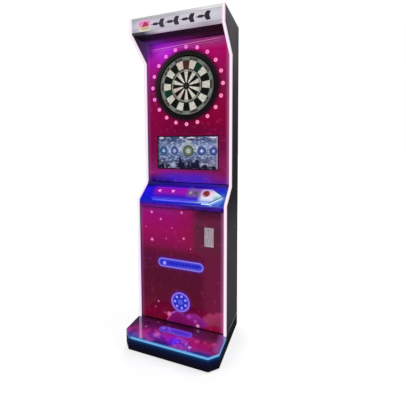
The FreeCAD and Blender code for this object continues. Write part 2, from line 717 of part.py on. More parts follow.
def electrics():
    inlet = ("200", "1010")
    flange = box(span(inlet[0], "21"), ("back_face", "back_face + 2.5"), span(inlet[1], "17"))
    body = box(span(inlet[0], "14"), ("back_face - 30", "back_face"), span(inlet[1], "11"))
    socket = box(span(inlet[0], "11.5"), ("back_face - 16", "back_face + 3"), span(inlet[1], "8"))
    blade_y = ("back_face - 18", "back_face - 4")
    blades = [box(span(f"{inlet[0]} + {x}", "2"), blade_y, span(f"{inlet[1]} + {z}", "1"))
              for x, z in ((-6, -2), (0, 3), (6, -2))]
    node("power_inlet", fuse(cut(fuse(flange, body), socket), *blades))
    base = CABINET_FLOOR
    case = box(("-250", "-140"), ("40", "200"), (base, f"{base} + 42"))
    terminals = box(("-240", "-150"), ("28", "40"), (base, f"{base} + 18"))
    node("power_supply", fuse(case, terminals))
    legs = [cylinder("Z", (x, y), (SILL, f"{SILL} + 8"), "3") for x in (-82, 82) for y in (150, 218)]
    card = box(span("0", "90"), ("142", "226"), (f"{SILL} + 8", f"{SILL} + 10"))
    chips = [box((x, f"{x} + {w}"), ("165", "195"), (f"{SILL} + 10", f"{SILL} + 15"))
             for x, w in ((-60, 30), (-10, 24), (40, 30))]
    node("control_board", fuse(card, *legs, *chips))


def cash_box():
    base = CABINET_FLOOR
    outer = box(("130", "280"), ("20", "200"), (base, f"{base} + 120"))
    inner = box(("130 + cash_wall", "280 - cash_wall"), ("20 + cash_wall", "200 - cash_wall"),
                (f"{base} + cash_wall", f"{base} + 121"))
    node("cash_box", cut(outer, inner))


platform()
side_panels()
edge_lights()
header()
pivots()
carcass()
deck()
side_controls()
lower_door()
upper_door()
rear_door()
fan()
electrics()
cash_box()
doc.recompute()

for thing in doc.Objects:
    if "Invalid" in thing.State or "Error" in thing.State:
        raise RuntimeError(f"{thing.Name} ({thing.Label}) did not build: {thing.State}")
for thing in nodes:
    if thing.Shape.isNull() or not thing.Shape.isValid() or not thing.Shape.Solids:
        raise RuntimeError(f"{thing.Label} has no valid solid")

os.makedirs("parts", exist_ok=True)
for thing in nodes:
    thing.Shape.exportStep(f"parts/{thing.Label}.step")
    bounds = thing.Shape.BoundBox
    print(f"{thing.Label}: {len(thing.Shape.Solids)} solids, volume {thing.Shape.Volume:.0f}, "
          f"x {bounds.XMin:.1f} {bounds.XMax:.1f}, y {bounds.YMin:.1f} {bounds.YMax:.1f}, "
          f"z {bounds.ZMin:.1f} {bounds.ZMax:.1f}")
print(len(nodes), "nodes")
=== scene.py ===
import math

import bmesh
import bpy
from mathutils import Matrix, Vector


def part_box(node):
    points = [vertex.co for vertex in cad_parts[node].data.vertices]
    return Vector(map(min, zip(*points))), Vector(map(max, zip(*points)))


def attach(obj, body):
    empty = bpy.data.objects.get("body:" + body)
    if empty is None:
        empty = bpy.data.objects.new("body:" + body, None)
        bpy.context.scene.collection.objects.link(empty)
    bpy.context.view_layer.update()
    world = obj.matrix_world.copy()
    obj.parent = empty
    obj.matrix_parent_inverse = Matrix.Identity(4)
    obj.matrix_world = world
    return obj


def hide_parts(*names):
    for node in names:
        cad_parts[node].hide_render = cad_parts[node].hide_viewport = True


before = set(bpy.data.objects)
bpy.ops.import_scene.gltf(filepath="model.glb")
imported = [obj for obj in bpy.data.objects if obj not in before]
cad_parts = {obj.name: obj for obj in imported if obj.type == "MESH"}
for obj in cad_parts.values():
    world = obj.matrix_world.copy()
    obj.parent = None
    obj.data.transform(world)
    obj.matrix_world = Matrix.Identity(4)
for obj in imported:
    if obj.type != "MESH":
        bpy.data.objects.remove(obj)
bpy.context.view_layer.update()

# Looks of an electronic dartboard cabinet, built around its CAD frame. Lengths are in metres, and a
# surface's colours are worked out from its place in that frame: x across, y towards the back, z up.
MM = 0.001
SECTORS = 20
SECTOR = 2 * math.pi / SECTORS
NUMBERS = (20, 1, 18, 4, 13, 6, 10, 15, 2, 17, 3, 19, 7, 16, 8, 11, 14, 9, 12, 5)


# ---------------------------------------------------------------- places taken from the frame
def low(node):
    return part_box(node)[0]


def high(node):
    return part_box(node)[1]


def middle(node):
    return (low(node) + high(node)) / 2


BULL = middle("inner_bull")
SPEAKER = middle("speaker_grille")
SPEAKER_RADIUS = (high("speaker_grille").x - low("speaker_grille").x) / 2
SPEAKER_LAMPS = 7
BADGE = middle("badge_lens")
BADGE_RADIUS = (high("badge_lens").z - low("badge_lens").z) / 2
BADGE_REACH = (high("badge_lens").x - low("badge_lens").x) / 2 - BADGE_RADIUS
TRIPLE_RADIUS = (high("triple_segments").x - low("triple_segments").x) / 2
NUMBER_CIRCLE = high("number_lights").z - BULL.z - 14 * MM
DOOR_WIDTH = high("upper_sheet").x
INNER_WIDTH = low("side_panel_right").x
REAR = high("back_panel").y


# ---------------------------------------------------------------- shader fields
def tone(code, share=1.0):
    """The linear colour of a hex code such as #a00050, darkened to a share of itself."""
    levels = [int(code[i:i + 2], 16) / 255 for i in (1, 3, 5)]
    linear = [v / 12.92 if v <= 0.04045 else ((v + 0.055) / 1.055) ** 2.4 for v in levels]
    return (*[v * share for v in linear], 1.0)


class Field:
    """A number that varies over a surface. Python's operators add the shader nodes that work it out."""

    def __init__(self, look, socket):
        self.look = look
        self.socket = socket

    def math(self, operation, *others):
        return self.look.field("Math", dict(enumerate((self, *others))), operation=operation)

    def __add__(self, other):
        return self.math("ADD", other)

    def __sub__(self, other):
        return self.math("SUBTRACT", other)

    def __mul__(self, other):
        return self.math("MULTIPLY", other)

    def __truediv__(self, other):
        return self.math("DIVIDE", other)

    def __abs__(self):
        return self.math("ABSOLUTE")

    def root(self):
        return self.math("SQRT")

    def floor(self):
        return self.math("FLOOR")

    def sine(self):
        return self.math("SINE")

    def modulo(self, other):
        return self.math("FLOORED_MODULO", other)

    def above(self, other):
        return self.math("GREATER_THAN", other)

    def hypot(self, other):
        return (self * self + other * other).root()

    def off_step(self, pitch):
        """Distance from the middle of the nearest of even steps, in steps: 0 there and 0.5 between two."""
        return abs((self / pitch).modulo(1.0) - 0.5)

    def least(self, other):
        return self.math("MINIMUM", other)

    def most(self, other):
        return self.math("MAXIMUM", other)

    def rise(self, start, end):
        """0 before start and 1 after end, with a soft change between them. End may be the lower one."""
        return self.look.field("MapRange", {"Value": self, "From Min": start, "From Max": end},
                               interpolation_type="SMOOTHSTEP")


class Look:
    """One material: its shader, and short calls for the nodes that feed it."""

    SOCKETS = {"rough": "Roughness", "metal": "Metallic", "level": "Specular IOR Level", "ior": "IOR",
               "coat": "Coat Weight", "coat_rough": "Coat Roughness", "glow": "Emission Strength"}

    def __init__(self, name, **fixed):
        self.material = bpy.data.materials.new(name)
        self.material.use_nodes = True
        self.tree = self.material.node_tree
        self.shader = self.tree.nodes["Principled BSDF"]
        for key, value in fixed.items():
            self.shader.inputs[self.SOCKETS[key]].default_value = value
        self.place = self.field("TexCoord", output="Object")
        parts = self.node("SeparateXYZ", {0: self.place})
        self.x, self.y, self.z = (Field(self, socket) for socket in parts.outputs)

    def node(self, kind, inputs=None, **settings):
        """Adds a shader node, makes its settings and feeds its inputs."""
        made = self.tree.nodes.new("ShaderNode" + kind)
        for key, value in settings.items():
            setattr(made, key, value)
        for key, value in (inputs or {}).items():
            self.feed(made.inputs[key], value)
        return made

    def field(self, kind, inputs=None, output=0, **settings):
        """Adds a shader node and returns one of its outputs."""
        return Field(self, self.node(kind, inputs, **settings).outputs[output])

    def feed(self, socket, value):
        """Gives a socket a field, a number, a colour, or a colour's hex code."""
        if isinstance(value, Field):
            self.tree.links.new(value.socket, socket)
        else:
            socket.default_value = tone(value) if isinstance(value, str) else value

    def set(self, key, value):
        self.feed(self.shader.inputs[self.SOCKETS[key]], value)

    def noise(self, scale, detail=3.0, stretch=(1, 1, 1)):
        """Cloudy variation from about 0.3 to 0.7, with features of about 1/scale metres."""
        space = self.field("Mapping", {"Vector": self.place, "Scale": stretch})
        return self.field("TexNoise", {"Vector": space, "Scale": scale, "Detail": detail})

    def patches(self, scale, start=0.3, end=0.7):
        """Soft cloudy patches, 0 where the noise is below start and 1 where it is above end."""
        return self.noise(scale).rise(start, end)

    def cells(self, scale):
        """Distance to the middle of the nearest of many uneven cells, about 1/scale metres across."""
        return self.field("TexVoronoi", {"Vector": self.place, "Scale": scale}, "Distance")

    def facets(self, scale):
        """A random number from 0 to 1 in each of many angular patches, about 1/scale metres across."""
        colour = self.field("TexVoronoi", {"Vector": self.place, "Scale": scale}, "Color")
        return self.field("SeparateColor", {0: colour})

    def far(self, x, z):
        """Distance from a point, seen from the front."""
        return (self.x - x).hypot(self.z - z)

    def far_in_plan(self, x, y):
        """Distance from a point, seen from above."""
        return (self.x - x).hypot(self.y - y)

    def ramp(self, field, stops):
        """Colours along a field: the field's own values, lowest first, each with a hex code."""
        first, *_, last = stops
        node = self.node("ValToRGB", {0: (field - first) / (last - first)})
        band = node.color_ramp
        while len(band.elements) < len(stops):
            band.elements.new(1.0)
        for element, (value, code) in zip(band.elements, stops.items()):
            element.position = (value - first) / (last - first)
            element.color = tone(code)
        return Field(self, node.outputs[0])

    def mix(self, share, under, over, kind="MIX"):
        return self.field("Mix", {0: share, 6: under, 7: over}, 2, data_type="RGBA", blend_type=kind,
                          clamp_factor=True)

    def tinted(self, face, code):
        """A face seen through a colour."""
        return self.mix(1.0, face, code, "MULTIPLY")

    def clouded(self, share, code, dark, bright=1.0):
        """One colour, darkened to a share of itself where the field is 0."""
        return self.mix(share, tone(code, dark), tone(code, bright))

    def between(self, share, field, under, over):
        """Two ramps along a field, the second laid over the first."""
        return self.mix(share, self.ramp(field, under), self.ramp(field, over))

    def layers(self, face, *layers):
        """Colours laid over a face one after another, each with its share."""
        for share, colour in layers:
            face = self.mix(share, face, colour)
        return face

    def spots(self, face, away, share, core, marks):
        """Round patches over a face. Each mark is two places for away, a reach in mm and a colour."""
        for across, along, reach, code in marks:
            face = self.mix(away(across, along).rise(reach * MM, reach * core * MM) * share, face, code)
        return face

    def paint(self, colour):
        self.feed(self.shader.inputs["Base Color"], colour)
        return self

    def shine(self, colour):
        self.feed(self.shader.inputs["Emission Color"], colour)
        return self

    def lit(self, face, dark):
        """A print with a lamp behind it: it glows in its own colours and shows them darker to the room."""
        return self.shine(face).paint(self.mix(dark, face, "#000000"))

    def bump(self, height, depth):
        self.feed(self.shader.inputs["Normal"], self.field("Bump", {"Distance": depth, "Height": height}))
        return self


# ---------------------------------------------------------------- plain finishes
def moulded(name, code, rough=0.45, shade=0.75, grain=900.0, depth=0.05 * MM, **fixed):
    """Moulded plastic: a fine grain, slight cloudiness and a duller sheen where the grain is raised."""
    look = Look(name, rough=rough, **fixed)
    fine, cloud = look.noise(grain, 2.0), look.noise(14.0)
    look.paint(look.clouded(cloud.rise(0.35, 0.65), code, shade))
    look.set("rough", fine * 0.16 + (rough - 0.08))
    return look.bump(fine, depth)


def metal(name, code, rough=0.32, along=(1, 1, 1), scale=500.0, **fixed):
    """Bare metal, brushed along the axis that has the small share in along."""
    look = Look(name, metal=1.0, rough=rough, **fixed)
    brush, wear = look.noise(scale, 4.0, along), look.noise(22.0)
    look.paint(look.clouded(brush.rise(0.3, 0.7), code, 0.72))
    look.set("rough", wear * 0.2 + (rough - 0.1))
    return look.bump(brush, 0.03 * MM)


def laminate(name="laminate_side"):
    """Charcoal laminate with a fine pebbled grain. The room's light falls off down the panel."""
    look = Look(name, level=0.28)
    pebble, cloud, speck = look.noise(520.0, 3.0), look.noise(5.0), look.cells(260.0)
    shade = look.ramp(look.z, {0.1: "#46414a", 0.5: "#4b464c", 0.8: "#464247", 0.97: "#26232a",
                               1.2: "#2d2932", 1.6: "#443e48", 1.8: "#545056", 2.1: "#777378"})
    shade = look.mix(speck.rise(0.25, 0.1) * 0.3, shade, "#8c878e")
    painted = look.mix(cloud.rise(0.3, 0.7) * 0.35, shade, "#1c1a1e")
    inner = abs(look.x).rise(INNER_WIDTH + 1 * MM, INNER_WIDTH)
    near = look.y.rise(-0.06, 0.085) * look.y.rise(0.1, 0.092) * look.z.rise(1.05, 1.06)
    # Painted light: the violet glow of the lit doors on the side panels' inner faces next to them.
    painted_spill = look.ramp(look.z, {1.05: "#281060", 1.3: "#481038", 1.7: "#481038", 1.95: "#4c2060",
                               2.05: "#30204c"})
    look.shine(look.mix(inner * near, "#000000", painted_spill))
    look.set("glow", 0.9)
    behind = look.y.rise(high("upper_baffle").y, high("upper_baffle").y + 1 * MM)
    under = look.y.rise(high("lower_baffle").y, high("lower_baffle").y + 1 * MM) * look.z.rise(1.06, 1.05)
    look.paint(bare_board(look, painted, inner * (behind + under).least(1.0) * within(look)))
    look.set("rough", pebble * 0.3 + 0.42)
    return look.bump(pebble, 0.12 * MM)


def within(look):
    """1 in front of the painted rear faces of the back panel and the rear door."""
    return look.y.rise(REAR - 1 * MM, REAR - 2 * MM)


def short_of_ends(look):
    """1 but for the painted upright edges of a door."""
    return abs(look.x).rise(DOOR_WIDTH - 0.5 * MM, DOOR_WIDTH - 1.5 * MM)


def behind_rails(look):
    """1 on the rear faces of the cross rails."""
    return look.y.rise(0.095, 0.1) * within(look)


def inside_panel(look):
    """1 on the inner faces of the back panel and the rear door, but not on their upright edges."""
    return within(look) * short_of_ends(look)


def under_sill(look):
    """1 on the lower shelf, and on the part of the upper one that is behind its front edge."""
    return (look.z.rise(0.9, 0.8) + look.y.rise(0.1, 0.104)).least(1.0) * within(look)


def bare_board(look, painted, inside):
    """Unpainted fibreboard on the faces inside the cabinet, over the painted colour of the others."""
    fibre, fleck = look.noise(60.0, 4.0), look.noise(420.0, 2.0)
    raw = look.mix(fibre.rise(0.3, 0.7), "#ac8c64", "#c4a67c")
    raw = look.mix(fleck.rise(0.5, 0.7) * 0.5, raw, "#86683f")
    return look.mix(inside, painted, raw)


def painted_board(name, code="#141217", inside=None):
    """Sawn board sealed with satin black paint, its long fibres just showing, left bare inside."""
    look = Look(name, level=0.25)
    fibre, cloud = look.noise(160.0, 4.0, (1, 1, 0.12)), look.noise(9.0)
    face = look.mix(cloud.rise(0.2, 0.8) * 0.5 + fibre.rise(0.4, 0.7) * 0.4, tone(code), "#26232b")
    look.paint(bare_board(look, face, inside(look)) if inside else face)
    look.set("rough", fibre * 0.25 + 0.45)
    return look.bump(fibre, 0.08 * MM)


def coin_steel():
    """Bright satin steel, brushed upwards, with a painted pink glow that stands for the sheet's reflection.
    """
    look = metal("steel_coin", "#e4d6de", 0.34, (1, 1, 0.03), 700.0, glow=0.32)
    # Painted reflection: the pink glow of the sheet round the plate.
    return look.shine(look.mix(look.patches(60.0), "#b49aa8", "#e0ccd8"))


def lit_cap(name, code, deep):
    """Clear-coated button cap with a dim lamp inside it."""
    look = Look(name, rough=0.22, level=0.4, coat=0.6, coat_rough=0.05, glow=0.55)
    return look.lit(look.mix(look.patches(60.0, 0.35, 0.65), deep, code), 0.45)


def arrow_plastic():
    """Lit violet plastic of the arrow caps."""
    look = Look("plastic_arrow_lit", rough=0.25, level=0.3, coat=0.5, glow=0.7)
    return look.lit(look.mix(look.patches(50.0), "#8812a4", "#a41cb4"), 0.5)


# ---------------------------------------------------------------- light panels
def diffuser(name, code, glow, pitch=16.7 * MM, axis="z"):
    """A frosted strip: the light-emitting diodes behind it show as soft spots at an even pitch."""
    look = Look(name, rough=0.5, level=0.2, glow=glow)
    along = getattr(look, axis)
    spot = along.off_step(pitch).rise(0.5, 0.05)
    frost = look.noise(700.0, 2.0)
    look.shine(look.clouded(spot, code, 0.95))
    look.paint(look.clouded(frost.rise(0.3, 0.7), code, 0.12, 0.2))
    return look.bump(frost, 0.05 * MM)


def left_flank(look):
    """1 on the platform's left end, which the viewer sees at a low angle and which gets painted shade."""
    return look.x.rise(-0.246, -0.263)


def clear_of_door(look):
    """1 on the part of the platform that stands out in front of the doors."""
    return look.y.rise(-0.03, -0.07)


def light_channel():
    """A frosted strip along a side panel's front edge: white in its middle, pink towards both its sides."""
    look = diffuser("glow_edge", "#f6e2f0", 0.95)
    aside = abs(abs(look.x) - middle("side_panel_right").x)
    spot = look.z.off_step(16.7 * MM).rise(0.5, 0.05)
    look.shine(look.mix(aside.rise(6 * MM, 2 * MM), look.mix(spot, "#f0d4ec", "#f4dcf0"),
                        look.mix(spot, "#faf2f8", "#fffbff")))
    return look


def platform_glow():
    """Blue strip round the platform's front, brightest at the top where it meets the cover."""
    look = Look("glow_platform", rough=0.4, level=0.2, glow=0.85)
    frost = look.noise(600.0, 2.0)
    colour = look.ramp(look.z, {0.083: "#2c70a8", 0.087: "#62a8dc", 0.091: "#74b4f0", 0.0945: "#4a88cc"})
    colour = look.mix(look.noise(14.0, 2.0).rise(0.5, 0.62) * 0.5, colour, "#58b0cc")
    # Painted shade: the strip is darker blue along the platform's left end.
    colour = look.mix(left_flank(look) * 0.85, colour, "#2a327c")
    look.shine(look.mix(frost.rise(0.3, 0.7) * 0.25, colour, "#8fc4ff"))
    look.paint(colour)
    return look.bump(frost, 0.04 * MM)


PLATFORM_MARKS = (  # across, depth from the front, reach, colour: patches of light in the platform's print
    (-0.104, 0.072, 38, "#d468d4"), (-0.060, 0.080, 30, "#a020b0"), (0.108, 0.056, 17, "#b850e4"),
    (0.142, 0.036, 16, "#e09cff"), (0.165, 0.100, 26, "#c83c90"), (0.273, 0.108, 27, "#d03084"),
    (0.215, 0.105, 22, "#a82c68"), (-0.213, 0.118, 13, "#b068a8"), (-0.158, 0.187, 12, "#8c4880"),
    (-0.175, 0.085, 30, "#a02888"))


def platform_top():
    """Gloss acrylic lit from below: a painted reflection of the blue badge on magenta, crimson shapes to the
    right, dark by the door.
    """
    look = Look("platform_gloss", rough=0.07, level=1.0, ior=1.6, coat=1.0, coat_rough=0.02, glow=0.9)
    front = low("platform_cover").y
    depth = look.y - front
    left = look.ramp(depth, {0.0: "#2c44a8", 0.014: "#3a4cb4", 0.03: "#6c3ca8", 0.06: "#8c1c88",
                             0.09: "#861672", 0.12: "#5e1356", 0.15: "#480c4a", 0.18: "#3c1040",
                             0.205: "#280620"})
    centre = look.ramp(depth, {0.0: "#162a9c", 0.014: "#141e90", 0.026: "#5814a0", 0.042: "#8c1ccc",
                               0.075: "#7a12c4", 0.1: "#7c1290", 0.13: "#681068", 0.16: "#4c0a44",
                               0.19: "#300628", 0.205: "#1c0418"})
    right = look.ramp(depth, {0.0: "#2032a0", 0.014: "#262d8f", 0.03: "#8a2c86", 0.05: "#a61478",
                              0.09: "#a01062", 0.12: "#8a185a", 0.145: "#5e1442", 0.17: "#38102c",
                              0.205: "#440f2c"})
    face = look.mix(look.x.rise(-0.2, -0.06), left, centre)
    face = look.mix(look.x.rise(0.04, 0.16), face, right)
    beam = abs(look.x - 0.032).rise(0.052, 0.012) * depth.rise(0.012, 0.03) * depth.rise(0.115, 0.06)
    face = look.mix(beam * 0.8, face, "#5c10e4")
    facet = look.facets(17.0)
    face = look.mix(facet.rise(0.2, 0.5) * -0.45 + 0.45, face, look.tinted(face, "#707070"))
    face = look.mix(facet.rise(0.6, 0.9) * depth.rise(0.16, 0.12) * 0.4, face, "#d0288c")
    face = look.spots(face, lambda across, deep: look.far_in_plan(across, front + deep), 0.9, 0.0,
                      PLATFORM_MARKS)
    # Painted reflection of the lit blue badge in the gloss, with a bright spot for the lamp at its left end.
    pill = (abs(look.x + 0.002) - 0.091).most(0.0).hypot(depth - 0.136)
    face = look.mix(pill.rise(0.038, 0.026) * 0.6, face, "#3c1480")
    inside = look.ramp(pill, {0.0: "#4a2cd0", 0.015: "#4c34cc", 0.022: "#6c4ad8", 0.028: "#7c50cc"})
    face = look.layers(
        face, (pill.rise(0.029, 0.025), inside),
        (look.far_in_plan(-0.094, front + 0.142).rise(0.017, 0.002) * 0.7, "#a488f4"))
    # Painted light and shade: lavender light at the right end by the light channel, a darker left end,
    # near-black shade at the door's foot.
    painted_channel_glow = look.x.rise(0.265, 0.305) * depth.rise(0.03, 0.07)
    face = look.layers(
        face, (painted_channel_glow * 0.6, "#8a58b0"), (look.x.rise(-0.272, -0.3) * depth.rise(0.05, 0.1) * 0.8, "#3c1a50"),
        (look.y.rise(-0.046, -0.03), "#050308"))
    top = high("platform_cover").z
    edge = look.z.rise(top - 0.6 * MM, top - 1.4 * MM) * clear_of_door(look)
    # Painted shade: the lit front edge is darker blue along the left end.
    rim = look.mix(left_flank(look), "#4a94cc", "#2a327c")
    look.shine(look.mix(edge, face, rim))
    look.paint(look.mix(edge, "#0b0a10", "#1c3c5c"))
    scuff = look.noise(300.0, 4.0)
    look.set("rough", scuff.rise(0.5, 0.8) * 0.08 + 0.05)
    return look


def plinth():
    """Black powder-coated steel, with painted blue light from the strip above glowing on its front."""
    look = Look("plinth_steel", rough=0.6, level=0.08, glow=0.8)
    grain = look.noise(800.0, 2.0)
    # Painted light: the strip's blue glow on the plinth, brightest at its top.
    painted_glow = look.ramp(look.z, {0.0: "#0b0a14", 0.03: "#0b0a1c", 0.048: "#080c2a", 0.06: "#04143c",
                              0.07: "#032450", 0.079: "#0e3c70", 0.086: "#2a6a9c", 0.093: "#3a7cb4"})
    # Painted shade: the glow is darker blue on the left end.
    painted_glow = look.mix(left_flank(look) * look.z.rise(0.066, 0.078), painted_glow, "#101c58")
    look.shine(look.mix(clear_of_door(look), "#05050a", painted_glow))
    look.paint(look.mix(grain.rise(0.3, 0.7), "#08080e", "#121219"))
    return look.bump(grain, 0.06 * MM)


def door_sheet(look, face, sparkle):
    """Ends the print of a door: fine dust in it, the light channels' glow on its sides, slight waves."""
    face = look.mix(look.noise(40.0, 5.0).rise(0.55, 0.8) * 0.1, face, sparkle)
    side = abs(look.x).rise(DOOR_WIDTH - 26 * MM, DOOR_WIDTH + 6 * MM)
    face = look.mix(side * 0.45, face, look.mix(look.x.above(0.0), "#8c4aa0", "#c080b4"))
    return look.lit(face, 0.85).bump(look.noise(120.0, 1.0), 0.02 * MM)


def upper_print():
    """Back-lit acrylic of the target door: violet and magenta at the top, crimson to the right and below."""
    look = Look("acrylic_upper", rough=0.12, level=0.1, coat=0.15, coat_rough=0.03, glow=0.93)
    face = look.between(
        look.x.rise(-0.19, 0.13), look.z,
        {1.07: "#2c0f80", 1.10: "#5a1560", 1.13: "#901d6e", 1.2: "#7a144e", 1.3: "#760b40",
         1.45: "#80043c", 1.58: "#840842", 1.68: "#7c1246", 1.78: "#821a5e", 1.86: "#a01480",
         1.94: "#ac0cac", 2.0: "#a81ec0", 2.035: "#7a18a4"},
        {1.07: "#5c1790", 1.10: "#7c1a74", 1.15: "#7e144a", 1.2: "#821953", 1.3: "#700e44",
         1.42: "#78063a", 1.5: "#860334", 1.6: "#86063a", 1.72: "#78143f", 1.8: "#88124c", 1.88: "#9a0d58",
         1.96: "#ae0662", 2.0: "#9e2c74", 2.035: "#8a3070"})
    flare = look.far(-0.155, 1.965).rise(0.1, 0.0)
    face = look.mix(flare * 0.5, face, "#c82ae8")
    dim = abs(look.x).rise(0.24, 0.02) * look.z.rise(1.58, 1.42) * look.z.rise(1.38, 1.42)
    face = look.mix(dim * 0.5, face, "#4c0624")
    under = look.z.rise(1.165, 1.09) * abs(look.x + 0.02).rise(0.27, 0.1)
    face = look.mix(under, face, "#4a20be")
    pillow = look.z.rise(1.1, 1.075) * look.x.rise(-0.02, -0.16)
    face = look.mix(pillow * 0.7, face, "#180a70")
    corner = look.x.rise(-0.225, -0.29) * look.z.rise(1.9, 2.0)
    face = look.mix(corner * 0.85, face, "#480e64")
    ring = look.far(BULL.x, BULL.z)
    # Painted shade: the sheet darkens round the catch ring.
    painted_ring_shade = ring.rise(0.262, 0.236)
    face = look.mix(painted_ring_shade * 0.62, face, "#2c0a20")
    # Painted highlight: two pale pink streaks along the top of the sheet, standing for a lamp's reflection.
    painted_highlight = (abs(look.z - look.x * 0.05 - 2.013).rise(2.6 * MM, 0.8 * MM)
              + abs(look.z - look.x * 0.05 - 1.998).rise(1.8 * MM, 0.6 * MM) * 0.5)
    painted_highlight = painted_highlight * abs(look.x).rise(0.3, 0.2)
    face = look.mix(painted_highlight * 0.5, face, "#ffb4e6")
    return door_sheet(look, face, "#ff70d0")


def from_badge(look):
    """Distance from the middle line of the pill-shaped badge."""
    return (abs(look.x) - BADGE_REACH).most(0.0).hypot(look.z - BADGE.z)


STARS = ((-0.215, 0.867, 9), (0.012, 0.880, 8), (-0.145, 0.823, 7), (-0.215, 0.673, 11), (0.026, 0.705, 8),
         (-0.170, 0.235, 6), (-0.262, 0.760, 4), (-0.060, 0.770, 4), (-0.105, 0.690, 4), (0.075, 0.640, 4))
HILLS = (  # across, up, radius, colour: soft round-topped hills along the foot of the door, back to front
    (0.285, 0.105, 0.142, "#9c345c"), (0.112, 0.112, 0.080, "#8e2084"), (-0.006, 0.074, 0.114, "#7e1064"),
    (-0.225, 0.070, 0.100, "#72082c"), (0.262, 0.030, 0.120, "#8a0c3c"), (0.120, -0.010, 0.126, "#600a3c"))
ARCH = (-0.030, 0.118, 0.070)  # across, up, radius of the bright outline of the middle hill
GLEAMS = (  # across, up, reach, colour: bright patches over the hills
    (-0.088, 0.160, 24, "#f884c8"), (-0.118, 0.163, 14, "#b83c74"), (0.125, 0.120, 17, "#ffb4ec"),
    (0.107, 0.147, 15, "#d058b8"), (0.060, 0.172, 27, "#b43cc4"), (-0.193, 0.192, 9, "#b87078"))


def lower_print():
    """Back-lit acrylic of the lower door: a magenta sky with sparks, a darker lower part and hills."""
    look = Look("acrylic_lower", rough=0.12, level=0.1, coat=0.15, coat_rough=0.03, glow=0.93)
    left = look.ramp(look.z, {0.108: "#56062c", 0.14: "#74042c", 0.2: "#66082a", 0.26: "#5a0526",
                              0.4: "#520728", 0.56: "#580636", 0.603: "#620a32", 0.628: "#790a42",
                              0.68: "#8c0550", 0.76: "#98045a", 0.84: "#98036a", 0.88: "#901270",
                              0.9: "#6a1060"})
    right = look.ramp(look.z, {0.108: "#6c1038", 0.16: "#8c1042", 0.24: "#6e123a", 0.32: "#6a143a",
                               0.46: "#6a1238", 0.6: "#641638", 0.7: "#5c1e38", 0.78: "#561e38",
                               0.83: "#641e3e", 0.87: "#52102e", 0.9: "#380c34"})
    shift = look.z.rise(0.58, 0.66)
    face = look.mix((look.x + shift * 0.085).rise(0.13, 0.205), left, right)
    wave = look.noise(16.0, 4.0)
    crimson = look.x.rise(-0.1, 0.06) * look.x.rise(0.14, 0.07) * look.z.rise(0.62, 0.68)
    face = look.mix(crimson * 0.6, face, "#8c0a40")
    for across, up, radius, code in HILLS:
        reach = look.far(across, up) + (wave - 0.5) * 70 * MM
        shade = look.clouded(reach.rise(radius * 0.3, radius), code, 0.72)
        face = look.mix(reach.rise(radius + 9 * MM, radius - 9 * MM), face, shade)
    across, up, radius = ARCH
    reach = look.far(across, up) + (wave - 0.5) * 50 * MM
    outline = abs(reach - radius).rise(0.010, 0.001) * look.z.rise(up - 0.02, up + 0.03)
    outline = outline * look.x.rise(0.03, -0.02)
    face = look.mix(outline * 0.85, face, look.mix(look.x.rise(-0.09, -0.04), "#d4508c", "#9a58e4"))
    face = look.spots(face, look.far, 0.85, 0.0, GLEAMS)
    # Painted light: a violet glow of the lit badge and speaker on the print round them.
    away = from_badge(look) - BADGE_RADIUS
    face = look.mix(away.rise(0.02, 0.0) * 0.8, face, "#4c1a80")
    painted_spill = look.far(SPEAKER.x, SPEAKER.z).rise(SPEAKER_RADIUS + 0.018, SPEAKER_RADIUS)
    face = look.mix(painted_spill * 0.75, face, "#4c1a8c")
    for across, up, size in STARS:
        reach = look.far(across, up)
        face = look.mix(reach.rise(size * 1.9 * MM, 0.0) * 0.75, face, "#f060b8")
        face = look.mix(reach.rise(size * 0.62 * MM, size * 0.2 * MM), face, "#ffd0f0")
    return door_sheet(look, face, "#ff60b8")


def fascia():
    """Lit strip under the console, plum at the left and deep violet at the right, bluer towards its top."""
    look = Look("acrylic_fascia", rough=0.2, level=0.12, glow=0.9)
    up = look.z - low("fascia_panel").z
    face = look.between(
        look.x.rise(-0.1, 0.14), up,
        {0.0: "#761a78", 0.012: "#5c127c", 0.022: "#3a1096", 0.032: "#2c1296"},
        {0.0: "#38084a", 0.012: "#2c0a60", 0.022: "#24107c", 0.032: "#4a52ae"})
    face = look.mix(look.patches(30.0, 0.4, 0.7) * 0.25, face, "#5a2ac8")
    return look.lit(face, 0.6)


# ---------------------------------------------------------------- the sloping console
def deck_axes():
    """Across, up the slope and out of the face, from the normal of the plate's largest face."""
    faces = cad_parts["console_plate"].data.polygons
    out = max(faces, key=lambda face: face.area).normal.copy()
    out = out if out.z > 0 else -out
    across = Vector((1, 0, 0))
    return across, out.cross(across).normalized(), out


ACROSS, UPHILL, OUT = deck_axes()


def on_console(node):
    """Lowest and highest corner of a node along the console's own axes."""
    points = [v.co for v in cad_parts[node].data.vertices]
    lines = [[p.dot(axis) for p in points] for axis in (ACROSS, UPHILL, OUT)]
    return Vector([min(line) for line in lines]), Vector([max(line) for line in lines])


PLATE_LOW, PLATE_HIGH = on_console("console_plate")
PLATE_MIDDLE = (PLATE_LOW.y + PLATE_HIGH.y) / 2
PLATE_CORNER = max(v.co.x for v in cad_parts["console_plate"].data.vertices
                   if v.co.dot(UPHILL) < PLATE_LOW.y + 1 * MM)
TIP_ALONG = Vector((PLATE_HIGH.x - PLATE_CORNER, PLATE_MIDDLE - PLATE_LOW.y)).normalized()
TIP_OUT = Vector((TIP_ALONG.y, -TIP_ALONG.x))  # out of the plate's lower right edge


def slope(look):
    """Distance up the slope from the console plate's front edge."""
    return look.y * UPHILL.y + look.z * UPHILL.z - PLATE_LOW.y


